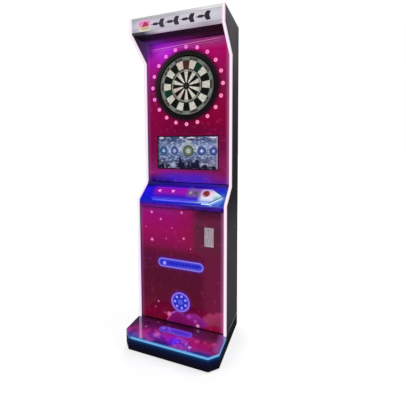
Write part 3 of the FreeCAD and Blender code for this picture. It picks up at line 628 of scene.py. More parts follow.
def deck_print():
    """Back-lit deck: saturated blue, darker at the top and paler where the right end catches the light."""
    look = Look("acrylic_deck", rough=0.14, level=0.2, coat=0.3, coat_rough=0.04, glow=0.92)
    up = slope(look)
    face = look.between(
        look.x.rise(0.1, 0.24), up,
        {-0.02: "#1c2cb8", 0.0: "#0e18c2", 0.05: "#1a16cc", 0.09: "#2a14d8", 0.112: "#1c0cb4",
         0.128: "#0e0770", 0.15: "#150c5c"},
        {-0.02: "#3444a8", 0.0: "#3450bc", 0.03: "#5078cc", 0.05: "#6488d4", 0.066: "#4c62cc",
         0.09: "#2436b8", 0.115: "#1c24c0", 0.15: "#3c2cbc"})
    beside = (look.x - PLATE_CORNER) * TIP_OUT.x + up * TIP_OUT.y
    glint = abs(beside).rise(0.028, 0.006) * look.x.rise(0.19, 0.215) * up.rise(0.062, 0.046)
    face = look.mix(glint * 0.8, face, "#a4c8fc")
    rays = abs((look.x * 1.3 - up) * 60.0).sine().rise(-0.2, 0.9)
    rays = rays * look.x.rise(0.2, 0.24) * up.rise(0.05, 0.0)
    face = look.layers(face, (rays * 0.35, "#6c94e4"), (look.x.rise(0.27, 0.298) * 0.65, "#24409c"))
    back = up.rise(0.108, 0.114) * look.x.rise(-0.28, -0.18) * look.x.rise(0.28, 0.2)
    face = look.mix(back * 0.6, face, look.ramp(up, {0.108: "#5c0cc0", 0.13: "#3a08a4", 0.15: "#1c0884"}))
    look.lit(face, 0.6)
    return look.bump(look.noise(200.0, 2.0), 0.02 * MM)


def console_print():
    """Back-lit plate: violet at its front edge, magenta round the buttons, white round the start button."""
    look = Look("acrylic_console", rough=0.14, level=0.15, coat=0.2, coat_rough=0.04, glow=0.94)
    up = slope(look)
    left = look.ramp(up, {0.0: "#2822c4", 0.008: "#4034dc", 0.02: "#4420cc", 0.034: "#4812b4",
                          0.05: "#7c16b0", 0.066: "#9a10ac", 0.085: "#960eaa", 0.1: "#8812c0",
                          0.108: "#6a0ec4"})
    right = look.ramp(up, {0.0: "#5a62c4", 0.012: "#b4c4ec", 0.03: "#dce0f4", 0.05: "#e8d8e8",
                           0.08: "#e6cde6", 0.096: "#c8a4dc", 0.108: "#9c84d4"})
    pale = look.ramp(up, {0.0: "#6a8fd2", 0.03: "#84aec4", 0.05: "#a4ccd4", 0.066: "#d8ecec",
                          0.09: "#c8d8ec", 0.1: "#a894dc", 0.108: "#5040b8"})
    face = look.mix(look.x.rise(0.112, 0.158), left, right)
    face = look.mix(look.x.rise(0.212, 0.245), face, pale)
    ends = look.x.rise(-0.19, -0.235)
    face = look.mix(ends, face, look.ramp(up, {0.0: "#1414dc", 0.05: "#2410d4", 0.108: "#340ccc"}))
    smoke = look.x.rise(0.02, 0.06) * look.x.rise(0.145, 0.11) * up.rise(0.02, 0.05)
    face = look.mix(smoke * 0.62, face, "#6a6a8c")
    line = abs(up - 6 * MM).rise(2.4 * MM, 0.8 * MM) + abs(up - 103 * MM).rise(1.3 * MM, 0.5 * MM) * 0.5
    face = look.mix(line * 0.28, face, "#9c94ff")
    height = look.y * OUT.y + look.z * OUT.z - PLATE_HIGH.z
    # Painted shade: the plate's raised side face at the right end is dark teal.
    side = height.rise(-0.6 * MM, -1.2 * MM)
    face = look.mix(side * look.x.rise(0.15, 0.21), face, "#143c50")
    look.lit(face, 0.8)
    return look.bump(look.noise(200.0, 2.0), 0.02 * MM)


def console_strip():
    """Lit strip along the plate's front edge, paler to the right, with spots at an even pitch."""
    look = Look("glow_console", rough=0.5, level=0.2, glow=0.95)
    left = look.ramp(look.x, {-0.21: "#2430e0", -0.1: "#5a48e8", 0.03: "#4e40d8", 0.11: "#6070c4",
                              0.14: "#98b4e0", 0.21: "#b8ccf4"})
    spot = look.x.off_step(12.5 * MM).rise(0.5, 0.1)
    front = (look.y * OUT.y + look.z * OUT.z - PLATE_HIGH.z).rise(-1.6 * MM, -2.4 * MM)
    front = look.mix(look.x.rise(0.1, 0.15) * front, left, "#30486c")
    look.shine(look.mix(spot * 0.2, front, "#b8c0ff"))
    return look.paint(left)


# ---------------------------------------------------------------- target
def sector_fields(look):
    """Whether a point lies in an odd sector, counted from the top, its sector's number and its radius."""
    across, up = look.x - BULL.x, look.z - BULL.z
    turn = across.math("ARCTAN2", up) / SECTOR
    sector = (turn + 0.5).floor()
    return abs(sector).modulo(2.0), sector, look.far(BULL.x, BULL.z)


def pinholes(look, pitch=4.4 * MM):
    """The segments' square array of dart holes: 1 in a hole and 0 between them."""
    return look.x.off_step(pitch).hypot(look.z.off_step(pitch)).rise(0.3, 0.2)


def single_plastic():
    """Cream and black single segments. Outer blocks and inner wedges swap colours, as on any target."""
    look = Look("plastic_single", rough=0.45, level=0.2, glow=0.62)
    odd, sector, reach = sector_fields(look)
    outer = reach.above(TRIPLE_RADIUS - 8 * MM)
    dark = abs(odd - outer)
    holes = pinholes(look)
    mottle = look.noise(60.0, 4.0)
    cream = look.mix(mottle.rise(0.35, 0.65), "#c4c8b8", "#ece9dc")
    # Painted light: pink pools at the lower left and near the top, and a paler middle.
    warm = look.far(BULL.x - 0.055, BULL.z - 0.055).rise(0.075, 0.02)
    cream = look.mix(warm * 0.55, cream, "#dca49c")
    painted_rosy_light = look.far(BULL.x - 0.02, BULL.z + 0.14).rise(0.09, 0.03)
    cream = look.layers(cream, (painted_rosy_light * 0.4, "#e8c4bc"), (reach.rise(0.08, 0.03) * 0.5, "#fff6e8"))
    block = look.mix(mottle.rise(0.3, 0.7), "#020202", "#0c0b09")
    red = abs(sector).rise(0.4, 0.1) * outer
    block = look.mix(red * 0.75, block, "#5a2e26")
    green = (abs(sector - 2.0).rise(0.4, 0.1) + abs(sector + 6.0).rise(0.4, 0.1)) * outer
    block = look.mix(green * 0.75, block, "#0c3a2a")
    face = look.mix(dark, cream, block)
    face = look.mix(holes * 0.62, face, "#1a1a16")
    look.paint(face)
    # Painted light: the segments glow in their own colours.
    look.shine(face)
    return look.bump(holes * -1.0 + mottle * 0.1, 0.6 * MM)


def score_plastic():
    """Doubles grey-green on even sectors and brown on odd ones; trebles paler with a dark outer rim."""
    look = Look("plastic_score", rough=0.45, level=0.2, glow=0.5)
    odd, _, reach = sector_fields(look)
    holes = pinholes(look, 3.6 * MM)
    mottle = look.noise(60.0, 3.0)
    inner = reach.rise(0.14, 0.13)
    even_tone = look.mix(inner, "#7a8c84", "#b8bcac")
    odd_tone = look.mix(inner, "#443a3c", "#8c867c")
    face = look.mix(odd, even_tone, odd_tone)
    face = look.mix(mottle.rise(0.45, 0.7) * 0.35, face, "#c8c4b8")
    rim = reach.rise(TRIPLE_RADIUS - 6 * MM, TRIPLE_RADIUS - 5 * MM) * inner
    face = look.layers(face, (rim * 0.9, "#101410"), (holes * 0.6, "#121210"))
    look.paint(face)
    # Painted light: the segments glow in their own colours.
    look.shine(face)
    return look.bump(holes * -1.0, 0.6 * MM)


def ring_plastic():
    """Catch ring: black near the target, with a painted plum sheen towards the lit print round it."""
    look = moulded("plastic_ring", "#0c0914", 0.34, level=0.3, grain=420.0, depth=0.15 * MM)
    reach = look.far(BULL.x, BULL.z)
    face = look.ramp(reach, {0.198: "#3a3438", 0.204: "#261c24", 0.212: "#2c1624", 0.222: "#38142c",
                             0.23: "#4c1838", 0.237: "#661c4c"})
    cloud = look.noise(30.0, 3.0)
    look.paint(look.mix(cloud.rise(0.35, 0.65), look.tinted(face, "#c0c0c0"), face))
    return look


def number_glow():
    """Round number lamps: pinkish white in the middle, deeper pink at the rim."""
    look = Look("glow_numbers", rough=0.35, level=0.3, glow=1.05)
    turn = ((look.x - BULL.x).math("ARCTAN2", look.z - BULL.z) / SECTOR + 0.5).floor() * SECTOR
    centre_x = turn.sine() * NUMBER_CIRCLE + BULL.x
    centre_z = (turn + math.pi / 2).sine() * NUMBER_CIRCLE + BULL.z
    reach = (look.x - centre_x).hypot(look.z - centre_z)
    face = look.ramp(reach, {0.0: "#ffa8dc", 0.004: "#ffc4e8", 0.009: "#ffdcf4", 0.0118: "#fa9cdc",
                             0.0145: "#9c2c80"})
    cool = look.tinted(face, "#fcacfa")
    warm = look.tinted(face, "#ffbcd0")
    face = look.mix((look.x - look.z + BULL.z).rise(-0.2, 0.1), cool, warm)
    return look.lit(face, 0.8)


# ---------------------------------------------------------------- header, display, badge and speaker
def marquee_white():
    """Frosted header panel over a lamp: pale lavender, dimmer at its left end, with a grey line round it."""
    look = Look("glow_marquee", rough=0.35, level=0.3, glow=0.88)
    up = look.z - low("marquee_panel").z
    tall = high("marquee_panel").z - low("marquee_panel").z
    base = look.ramp(look.x, {-0.3: "#a4a2b0", -0.24: "#cbbdd2", -0.1: "#beb8c6", 0.05: "#cac4d0",
                              0.2: "#ccc8d2", 0.3: "#c8c6ce"})
    base = look.mix(abs(up - tall * 0.55).rise(tall * 0.5, 0.0) * 0.3, base, "#ece6f2")
    line = abs(up - tall / 2).rise(tall / 2 - 4 * MM, tall / 2 - 1 * MM)
    base = look.layers(base, (line * 0.5, "#8a8692"), (look.patches(25.0, 0.4, 0.7) * 0.12, "#8e88a0"))
    look.lit(base, 0.8)
    return look.bump(look.noise(600.0, 2.0), 0.03 * MM)


def header_metal():
    """Silver-painted header rails, brightest at the right where the room's light falls."""
    look = Look("rail_silver", rough=0.34, metal=0.3, level=0.4, glow=0.6)
    brush = look.noise(400.0, 4.0, (0.02, 1, 1))
    lower_rail = look.z.rise(2.075, 2.06)
    tops = look.ramp(look.x, {-0.3: "#a6a6ac", 0.0: "#c6c5ca", 0.14: "#e6e6ea", 0.2: "#ffffff"})
    feet = look.ramp(look.x, {-0.3: "#1c1b26", -0.22: "#38343e", -0.17: "#9a98a0", -0.1: "#d2cad6",
                              0.1: "#d0c4d2", 0.2: "#b8b4c0", 0.3: "#cac6d0"})
    face = look.mix(lower_rail, tops, feet)
    look.shine(face)
    look.paint(look.mix(brush.rise(0.3, 0.7) * 0.25, look.mix(0.5, face, "#000000"), "#2a2a30"))
    return look.bump(brush, 0.04 * MM)


GLARES = (  # across, up from the glass's foot, reach, colour: bright patches of the display's sky
    (-0.060, 0.143, 34, "#d4dcfa"), (0.064, 0.145, 34, "#d0d8f4"), (-0.140, 0.120, 30, "#a4c4ea"),
    (0.150, 0.140, 40, "#a8b4ea"), (0.010, 0.190, 30, "#c8ccd8"), (-0.104, 0.024, 30, "#b4bce4"),
    (0.105, 0.030, 26, "#b8bcd8"), (0.185, 0.045, 34, "#a8a8d4"), (-0.198, 0.224, 26, "#e8d4e4"),
    (-0.045, 0.220, 20, "#c8c4e8"), (0.036, 0.226, 26, "#dcb8b0"), (0.190, 0.218, 32, "#c4a8cc"),
    (0.000, 0.036, 14, "#c0c4dc"))
SHADES = (  # the same, dark
    (-0.190, 0.046, 34, "#1c1840"), (0.025, 0.209, 16, "#282430"), (-0.120, 0.205, 40, "#46588c"),
    (0.120, 0.205, 40, "#5a6498"), (-0.150, 0.070, 40, "#4c5c98"), (0.140, 0.075, 34, "#5c6c94"))


def display_backlight():
    """The display's picture behind its glass: a bright, broken lavender sky over a dark stage."""
    look = Look("display_screen", rough=0.06, level=0.3, coat=0.2, coat_rough=0.02, glow=0.9)
    foot = low("display_glass").z
    up = look.z - foot
    sky = look.ramp(up, {0.0: "#3c1c48", 0.014: "#2c2444", 0.035: "#3a3c5c", 0.055: "#4c5880",
                         0.085: "#7080ac", 0.13: "#8494c0", 0.165: "#8090bc", 0.19: "#6876a4",
                         0.21: "#4c5078", 0.222: "#5c5274"})
    sky = look.spots(sky, lambda across, lift: look.far(across, foot + lift), 0.75, 0.25, SHADES + GLARES)
    broken = look.noise(48.0, 4.0, (1, 1, 1.8))
    sky = look.mix(broken.rise(0.5, 0.36) * 0.6, sky, look.tinted(sky, "#5c6478"))
    sky = look.layers(
        sky, (broken.rise(0.52, 0.66) * 0.6, "#d8e4fc"),
        (look.far(0.006, foot + 0.142).rise(0.056, 0.034) * 0.55, "#b4c8c4"))
    bars = look.x.off_step(9 * MM).rise(0.36, 0.46) * look.x.rise(0.1, 0.13)
    sky = look.mix(bars * up.rise(0.07, 0.05) * 0.5, sky, "#d0ccec")
    stripes = (up + look.x * 0.12).off_step(11 * MM).rise(0.34, 0.46)
    stripes = stripes * look.x.rise(-0.08, -0.11) * up.rise(0.085, 0.075) * up.rise(0.015, 0.03)
    sky = look.layers(
        sky, (stripes * 0.55, "#a8b4e4"), (look.x.rise(-0.205, -0.225) * 0.75, "#3c1a4c"),
        (look.x.rise(0.205, 0.222) * 0.8, "#c498c0"))
    grid = look.x.off_step(3 * MM).rise(0.5, 0.42)
    look.shine(look.mix(grid * 0.1, sky, "#101020"))
    return look.paint("#08080c")


def badge_glow():
    """Pill-shaped blue badge, its rim violet and its left end brighter."""
    look = Look("glow_badge", rough=0.2, level=0.3, coat=0.5, coat_rough=0.05, glow=0.95)
    face = look.ramp(from_badge(look), {0.0: "#181cc4", 0.012: "#1c20cc", 0.019: "#3c3cd0", 0.024: "#6c5cd0",
                              0.031: "#7048b4"})
    foot = (look.z - BADGE.z).rise(0.0, -0.022) * look.x.rise(-0.06, 0.1)
    face = look.mix(foot * 0.6, face, "#5c60d8")
    look.shine(look.mix(look.patches(35.0, 0.5, 0.75) * 0.3, face, "#3c48f0"))
    return look.paint(look.mix(0.8, face, "#000000"))


def grille_glow():
    """Speaker grille lit by a ring behind it: blue in the middle and violet towards the rim."""
    look = Look("glow_grille", rough=0.35, level=0.3, glow=0.9)
    reach = look.far(SPEAKER.x, SPEAKER.z)
    turn = (look.x - SPEAKER.x).math("ARCTAN2", look.z - SPEAKER.z)
    between = ((turn - math.pi / 2) * SPEAKER_LAMPS).sine()
    face = look.ramp(reach, {0.0: "#3c44d0", 0.022: "#2c34c4", 0.041: "#1c1ea0", 0.052: "#2a2cb4",
                             0.06: "#8a66dc", 0.066: "#6038c0", 0.07: "#3c1c80"})
    face = look.mix(between.rise(0.2, 0.9) * reach.rise(0.056, 0.05) * 0.4, face, "#3c44d8")
    foot = (look.z - SPEAKER.z).rise(-0.04, -0.066)
    face = look.mix(foot * 0.4, face, "#5c24c8")
    look.lit(face, 0.6)
    return look.bump(look.noise(500.0, 2.0), 0.04 * MM)


def circuit_board():
    """Green solder mask over copper tracks, with tinned pads on a grid."""
    look = Look("board_green", rough=0.3, level=0.5)
    track_x = look.x.off_step(2.6 * MM).rise(0.12, 0.06)
    track_y = look.y.off_step(3.1 * MM).rise(0.12, 0.06)
    pick = look.noise(45.0, 1.0).above(0.52)
    tracks = look.mix(pick, track_x, track_y)
    pads = look.cells(170.0).rise(0.2, 0.15)
    face = look.mix(tracks, "#0c3f20", "#1d6a35")
    look.paint(look.mix(pads * 0.8, face, "#b9b59a"))
    return look.bump(tracks, 0.05 * MM)


def soffit_board():
    """Painted board over the target, its rear edge washed by the sheet's violet light."""
    look = painted_board("board_soffit", "#0c0a10")
    painted_glow = look.ramp(look.x, {-0.3: "#4c2470", -0.22: "#641e86", -0.12: "#5c0c68", 0.02: "#560e4c",
                              0.15: "#2c0626", 0.3: "#240c22"})
    look.shine(look.mix(look.y.rise(0.0, 0.08), "#000000", painted_glow))
    look.set("glow", 0.85)
    return look


def lit_sill():
    """Painted board shelves; the front edge of the upper one catches the console's blue light."""
    look = painted_board("board_shelf", inside=under_sill)
    up = look.z.rise(1.035, 1.045) * look.y.rise(0.1, 0.085)
    sheen = look.ramp(look.x, {-0.3: "#2a1c74", -0.15: "#180a80", 0.0: "#2a14a0", 0.2: "#3018a8",
                               0.3: "#402070"})
    look.shine(look.mix(up, "#000000", sheen))
    look.set("glow", 0.85)
    return look


# ---------------------------------------------------------------- looks of the CAD nodes
undressed = set(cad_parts)


def dress(look, *nodes):
    """Gives CAD nodes their look."""
    for name in nodes:
        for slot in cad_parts[name].material_slots:
            slot.material = look.material
        undressed.discard(name)
    return look


dress(laminate(), "side_panel_left", "side_panel_right")
dress(light_channel(), "edge_lights")
dress(plinth(), "plinth_frame")
dress(platform_top(), "platform_cover")
dress(platform_glow(), "platform_light")
dress(moulded("rubber_feet", "#1a1a1c", 0.8, level=0.2), "foot_pads")
dress(header_metal(), "marquee_rails")
dress(marquee_white(), "marquee_panel")
dress(diffuser("glow_lamp", "#f4f0ff", 1.4, 9 * MM, "x"), "marquee_lamp")
dress(painted_board("board_black"), "top_panel")
dress(painted_board("board_rails", inside=behind_rails), "cross_rails")
dress(painted_board("board_rear", inside=inside_panel), "back_panel", "rear_door")
dress(painted_board("board_door", inside=short_of_ends), "upper_baffle", "lower_baffle")
dress(lit_sill(), "shelves")
dress(soffit_board(), "soffit_panel")
dress(moulded("paint_grey", "#6c727c", 0.45, level=0.4), "cash_box")
dress(moulded("plastic_sensor", "#3a3e48", 0.4, level=0.4), "sensor_plate")
dress(deck_print(), "deck_panel")
dress(console_print(), "console_plate")
dress(console_strip(), "console_light")
dress(fascia(), "fascia_panel")
dress(upper_print(), "upper_sheet")
dress(lower_print(), "lower_sheet")
dress(ring_plastic(), "catch_ring")
dress(single_plastic(), "single_segments")
dress(score_plastic(), "triple_segments", "double_segments")
dress(moulded("plastic_spider", "#a9a8a2", 0.4, 0.85, level=0.4), "spider_web")
dress(moulded("plastic_bull_outer", "#121411", 0.4, level=0.4), "outer_bull")
dress(moulded("plastic_bull_inner", "#54483a", 0.4, level=0.4), "inner_bull")
dress(number_glow(), "number_lights")
dress(moulded("plastic_housing", "#28142a", 0.4, level=0.35, grain=600.0), "display_housing")
dress(display_backlight(), "display_glass")
dress(badge_glow(), "badge_lens")
dress(grille_glow(), "speaker_grille")
STEEL = dress(metal("steel_plain", "#a9a6ad", 0.34), "door_hardware", "panel_screws", "key_switch",
              "lower_bolt", "upper_bolt", "rear_lock", "power_supply")
COIN_STEEL = dress(coin_steel(), "coin_plate", "reject_button")
BLACK_PLASTIC = dress(moulded("plastic_switch", "#101013", 0.4, level=0.4), "switch_bodies", "power_rocker",
                      "coin_mechanism", "speaker_driver", "fan_housing", "fan_rotor", "power_inlet")
CIRCUIT = dress(circuit_board(), "control_board")
ARROW_CAP = dress(arrow_plastic(), "left_arrow_button", "down_arrow_button")
SELECT_CAP = dress(lit_cap("plastic_button_pale", "#c0ccc4", "#8ca498"), "select_button")
BACK_CAP = dress(lit_cap("plastic_button_deep", "#6c7c74", "#44584c"), "back_button")
START_CAP = dress(lit_cap("plastic_button_red", "#b03a3e", "#8c1c24"), "start_button")
if undressed:
    raise SystemExit(f"no look for {sorted(undressed)}")


# ---------------------------------------------------------------- meshes
FRONT = Matrix(((1, 0, 0, 0), (0, 0, -1, 0), (0, 1, 0, 0), (0, 0, 0, 1)))  # across, up, out to the player
BACK = Matrix(((-1, 0, 0, 0), (0, 0, 1, 0), (0, 1, 0, 0), (0, 0, 0, 1)))  # across, up, out to the rear
LEVEL = Matrix.Identity(4)
CONSOLE = Matrix((ACROSS, UPHILL, OUT)).transposed().to_4x4()


def round_outline(u, v, reaches, start=0.0):
    """Outline round a point in even turns, each corner with its own reach."""
    turns = [start + 2 * math.pi * i / len(reaches) for i in range(len(reaches))]
    return [(u + reach * math.cos(turn), v + reach * math.sin(turn)) for reach, turn in zip(reaches, turns)]


def circle(u, v, radius, steps=40, start=0.0):
    return round_outline(u, v, [radius] * steps, start)


def mm(*pairs):
    """Pairs of lengths, given in millimetres."""
    return [(u * MM, v * MM) for u, v in pairs]


def at(origin, *steps):
    """A point that is so many millimetres from another."""
    return tuple(start + step * MM for start, step in zip(origin, steps))


class Shape:
    """A mesh put together from closed forms, drawn on a plane's own axes: across, up and out of it."""

    def __init__(self, plane=FRONT):
        self.mesh = bmesh.new()
        self.plane = plane

    def place(self, points):
        return [self.mesh.verts.new(self.plane @ Vector(point)) for point in points]

    def paint(self, faces, look):
        for face in faces:
            face.material_index = look

    def prism(self, outline, start, end, look=0):
        """A flat form with the given outline, from start to end along the plane's outward axis."""
        self.skin([self.place([(u, v, w) for u, v in outline]) for w in (start, end)], look)

    def raised(self, outline, face, rise, look=0):
        """A thin flat form on a face, its rise in mm."""
        self.prism(outline, face - 0.2 * MM, face + rise * MM, look)

    def block(self, low_corner, high_corner, look=0, chamfer=0.0):
        """A box with its outward edges chamfered."""
        (a, b, c), (d, e, f) = low_corner, high_corner
        levels = [(0.0, c), (0.0, f - chamfer), (chamfer, f)] if chamfer else [(0.0, c), (0.0, f)]
        rings = []
        for inset, w in levels:
            rings.append(self.place([(a + inset, b + inset, w), (d - inset, b + inset, w),
                                     (d - inset, e - inset, w), (a + inset, e - inset, w)]))
        self.skin(rings, look)

    def skin(self, rings, look=0):
        """Closed walls between rings of equal count, with a face on the first and the last."""
        faces = [self.mesh.faces.new(list(reversed(rings[0]))), self.mesh.faces.new(rings[-1])]
        for below, over in zip(rings, rings[1:]):
            for i in range(len(below)):
                j = (i + 1) % len(below)
                faces.append(self.mesh.faces.new((below[i], below[j], over[j], over[i])))
        self.paint(faces, look)

    def turned(self, profile, centre, steps=32, look=0):
        """A turned form. The profile is radius and height, from the foot to the top, and never zero."""
        u, v, w = centre
        self.skin([self.place([(*point, w + height) for point in circle(u, v, radius, steps)])
                   for radius, height in profile], look)

    def band(self, loops, look=0):
        """Walls between closed loops of equal count, the last of them joined to the first."""
        faces = []
        for i, loop in enumerate(loops):
            after = loops[(i + 1) % len(loops)]
            for j in range(len(loop)):
                k = (j + 1) % len(loop)
                faces.append(self.mesh.faces.new((loop[j], loop[k], after[k], after[j])))
        self.paint(faces, look)

    def ring(self, profile, centre, steps=48, look=0):
        """A turned form with a hole: the profile is a closed loop of radius and height."""
        u, v, w = centre
        turns = [2 * math.pi * i / steps for i in range(steps)]
        self.band([self.place([(u + r * math.cos(t), v + r * math.sin(t), w + h) for r, h in profile])
                   for t in turns], look)

    def numeral(self, text, centre, size, depth, look=0):
        """A number in a plain face, standing on the plane with its middle at the centre."""
        curve = bpy.data.curves.new("numeral", "FONT")
        curve.body = text
        curve.size = size
        curve.extrude = depth / 2
        curve.align_x = "CENTER"
        curve.align_y = "CENTER"
        curve.resolution_u = 3
        letter = bpy.data.objects.new("numeral", curve)
        bpy.context.scene.collection.objects.link(letter)
        flat = bpy.data.meshes.new_from_object(letter.evaluated_get(bpy.context.evaluated_depsgraph_get()))
        flat.transform(self.plane @ Matrix.Translation(centre))
        start = len(self.mesh.faces)
        self.mesh.from_mesh(flat)
        self.mesh.faces.ensure_lookup_table()
        self.paint(self.mesh.faces[start:], look)
        bpy.data.objects.remove(letter)
        bpy.data.curves.remove(curve)
        bpy.data.meshes.remove(flat)

    def piece(self, name, body, looks, stands_for=(), smooth=True):
        """Ends the shape as one object that rides on a body."""
        bmesh.ops.remove_doubles(self.mesh, verts=self.mesh.verts, dist=1e-6)
        bmesh.ops.recalc_face_normals(self.mesh, faces=self.mesh.faces)
        data = bpy.data.meshes.new(name)
        self.mesh.to_mesh(data)
        self.mesh.free()
        for look in looks:
            data.materials.append(look.material)
        made = bpy.data.objects.new(name, data)
        bpy.context.scene.collection.objects.link(made)
        if smooth:
            for face in data.polygons:
                face.use_smooth = True
            data.set_sharp_from_angle(angle=math.radians(38))
        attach(made, body)
        if stands_for:
            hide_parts(*stands_for)
        return made


def emit(name, code, glow=1.0, rough=0.35, level=0.2):
    """A small lit print, with a little unevenness from its ink."""
    look = Look(name, rough=rough, level=level, glow=glow)
    return look.lit(look.clouded(look.patches(180.0), code, 0.85), 0.5)


# ---------------------------------------------------------------- target door
def target_numbers():
    """The dial's twenty numbers, printed dark on their lamps."""
    digits = Shape()
    face = -low("number_lights").y
    for step, number in enumerate(NUMBERS):
        across = BULL.x + NUMBER_CIRCLE * math.sin(step * SECTOR)
        up = BULL.z + NUMBER_CIRCLE * math.cos(step * SECTOR)
        digits.numeral(str(number), (across, up, face), 16 * MM, 0.5 * MM)
    ink = moulded("ink_dark", "#2c0c28", 0.5, level=0.1)
    digits.piece("target_numbers", "upper_door", [ink], smooth=False)


def wire_rings():
    """Wires round both edges of the doubles and trebles, laid on the segments: pale and dark ones."""
    rings = Shape()
    centre = (BULL.x, BULL.z, -low("spider_web").y - 0.2 * MM)
    for look, (node, width) in enumerate((("double_segments", 17 * MM), ("triple_segments", 16 * MM))):
        outer = (high(node).x - low(node).x) / 2
        for radius in (outer - width - 1.2 * MM, outer + 1.2 * MM):
            rings.ring(circle(radius, 0.0, 0.9 * MM, 8), centre, 96, look)
    wires = [moulded("wire_pale", "#dcdedc", 0.3, 0.9, level=0.5),
             moulded("wire_dark", "#1c1e1c", 0.3, level=0.5)]
    rings.piece("target_wires", "upper_door", wires)


ICONS = (  # across, radius, outer ring, face, mark, corners of the mark
    (-0.181, 29, "#1c3c68", "#46749c", "#b4c8ec", 3), (-0.096, 28, "#2c3c78", "#606ca4", "#b8bcec", 0),
    (0.010, 39, "#46543c", "#74806c", "#c4ccc0", 0), (0.110, 30, "#24386c", "#5468a0", "#ccd8f8", 4),
    (0.195, 27, "#2c3874", "#5460a0", "#b0b8e8", 5))
TOWERS = (  # across, foot width, head width, height of the dark columns of the display's stage
    (-0.055, 40, 16, 84), (-0.030, 30, 20, 34), (0.044, 34, 22, 42), (0.074, 46, 24, 66), (0.010, 22, 12, 50),
    (-0.196, 44, 30, 26), (0.130, 60, 40, 24), (0.196, 44, 36, 16))


TOWER = (  # shares of the foot's width, the head's width and the height, at each corner of a column
    (-0.5, 0, 0), (0.5, 0, 0), (0.42, 0, 0.35), (0, 0.5, 0.7), (0, 0.3, 1), (0, -0.35, 0.92), (0, -0.5, 0.6),
    (-0.4, 0, 0.3))
TOP_LAMPS = ((-0.198, 40), (-0.045, 24), (0.030, 62), (0.190, 46))  # across, width


def bar(across, up, wide, tall):
    """Outline of a flat bar with slanted ends."""
    lean = tall / 2
    return [(across - wide / 2, up - tall / 2), (across + wide / 2 - lean, up - tall / 2),
            (across + wide / 2, up + tall / 2), (across - wide / 2 + lean, up + tall / 2)]


def display_icons():
    """Plain round game emblems over a stage of dark columns, with small lamps along the top."""
    icons = Shape()
    face = -low("display_glass").y
    looks = [emit("screen_dark", "#1c1a38", 0.7), emit("screen_light", "#dcdcf8", 0.95),
             emit("screen_pale", "#a8b0dc", 0.9)]
    foot = low("display_glass").z + 2 * MM
    for across, wide, narrow, tall in TOWERS:
        outline = [(across + (wide * a + narrow * b) * MM, foot + tall * c * MM) for a, b, c in TOWER]
        icons.raised(outline, face, 0.1, 0)
    row = middle("display_glass").z + 12 * MM
    for across, size, ring, fill, mark, corners in ICONS:
        count = len(looks)
        radius = size * MM
        looks += [emit(f"screen_ring_{count}", ring, 0.85), emit(f"screen_fill_{count}", fill, 0.9),
                  emit(f"screen_mark_{count}", mark, 0.95)]
        icons.raised(round_outline(across, row, [radius, radius * 1.06] * 24), face, 0.2, count)
        for share, rise, look in ((0.76, 0.3, count + 1), (0.62, 0.38, count), (0.54, 0.46, count + 1)):
            icons.raised(circle(across, row, radius * share), face, rise, look)
        if corners:
            star = round_outline(across, row, [radius * 0.5, radius * 0.22] * corners, math.pi / 2)
            icons.raised(star, face, 0.55, count + 2)
        else:
            rim = [(radius * 0.4, -0.2 * MM), (radius * 0.4, 0.55 * MM), (radius * 0.26, 0.55 * MM),
                   (radius * 0.26, -0.2 * MM)]
            icons.ring(rim, (across, row, face), 32, count + 2)
            icons.raised(circle(across, row, radius * 0.14, 20), face, 0.55, count + 2)
    top = high("display_glass").z - 8 * MM
    for across, wide in TOP_LAMPS:
        icons.raised(bar(across, top, wide * MM, 5 * MM), face, 0.15, 1)
    icons.raised(bar(0.025, top - 12 * MM, 46 * MM, 6 * MM), face, 0.15, 0)
    icons.piece("display_icons", "upper_door", looks, smooth=False)


# ---------------------------------------------------------------- header
def dart(across, up, length, half):
    """A dart's outline, its point to the left, with a half width."""
    side = [(-0.5, 0.04), (-0.34, 0.12), (-0.3, 0.3), (-0.02, 0.32), (0.03, 0.16), (0.1, 0.15), (0.17, 0.72),
            (0.26, 1.0), (0.5, 0.94), (0.42, 0.06)]
    lower = [(u, -v) for u, v in reversed(side)]
    return [(across + u * length, up + v * half) for u, v in side + lower]


EMBLEM = (  # outline in mm from the emblem's middle, rise in mm, look: the tile, its wedge and its bar
    (((-40, -28), (-32, -35), (36, -35), (40, -10), (40, 35), (-24, 35), (-40, 20)), 0.2, 1),
    (((-24, -6), (26, -6), (30, 4), (16, 22), (-2, 24), (-8, 8)), 0.5, 3),
    (((-20, -26), (30, -26), (33, -12), (-16, -12)), 0.5, 2))


def emblem_look(up):
    """Lit print of the emblem's tile, cream at its foot and pink above."""
    look = Look("header_emblem", rough=0.35, level=0.2, glow=0.8)
    face = look.ramp(look.z - up, {-0.034: "#e0dcc8", -0.02: "#dcccac", -0.008: "#e8b4a0", 0.004: "#e08cb4",
                                   0.02: "#e078b8", 0.034: "#f0b0d8"})
    return look.lit(face, 0.5)


def header_art():
    """A plain tile with a wedge over a bar at the left of the header, and four dark darts beside it."""
    art = Shape()
    up = middle("marquee_panel").z
    face = -low("marquee_panel").y
    looks = [emit("header_ink", "#332a36", 0.7), emblem_look(up), emit("header_olive", "#b8b088", 0.85),
             emit("header_plum", "#a8285c", 0.85)]
    for outline, rise, look in EMBLEM:
        art.raised([at((-0.214, up), *corner) for corner in outline], face, rise, look)
    for step in range(4):
        art.raised(dart(-0.118 + step * 102 * MM, up, 98 * MM, 27 * MM), face, 0.4, 0)
    art.piece("header_art", "cabinet", looks, smooth=False)


# ---------------------------------------------------------------- console buttons
GLYPH = 12.5 * MM  # from the middle of an arrow to its corners
STEM = 5 * MM  # radius of a button's stem


def head_foot(node):
    """Height above the deck's face of the underside of a button's head, which its stem goes on from."""
    start, end = on_console(node)
    centre = (start + end) / 2
    corners = [v.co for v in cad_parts[node].data.vertices]
    return min(p.dot(OUT) for p in corners
               if math.hypot(p.dot(ACROSS) - centre.x, p.dot(UPHILL) - centre.y) > STEM + 0.5 * MM)


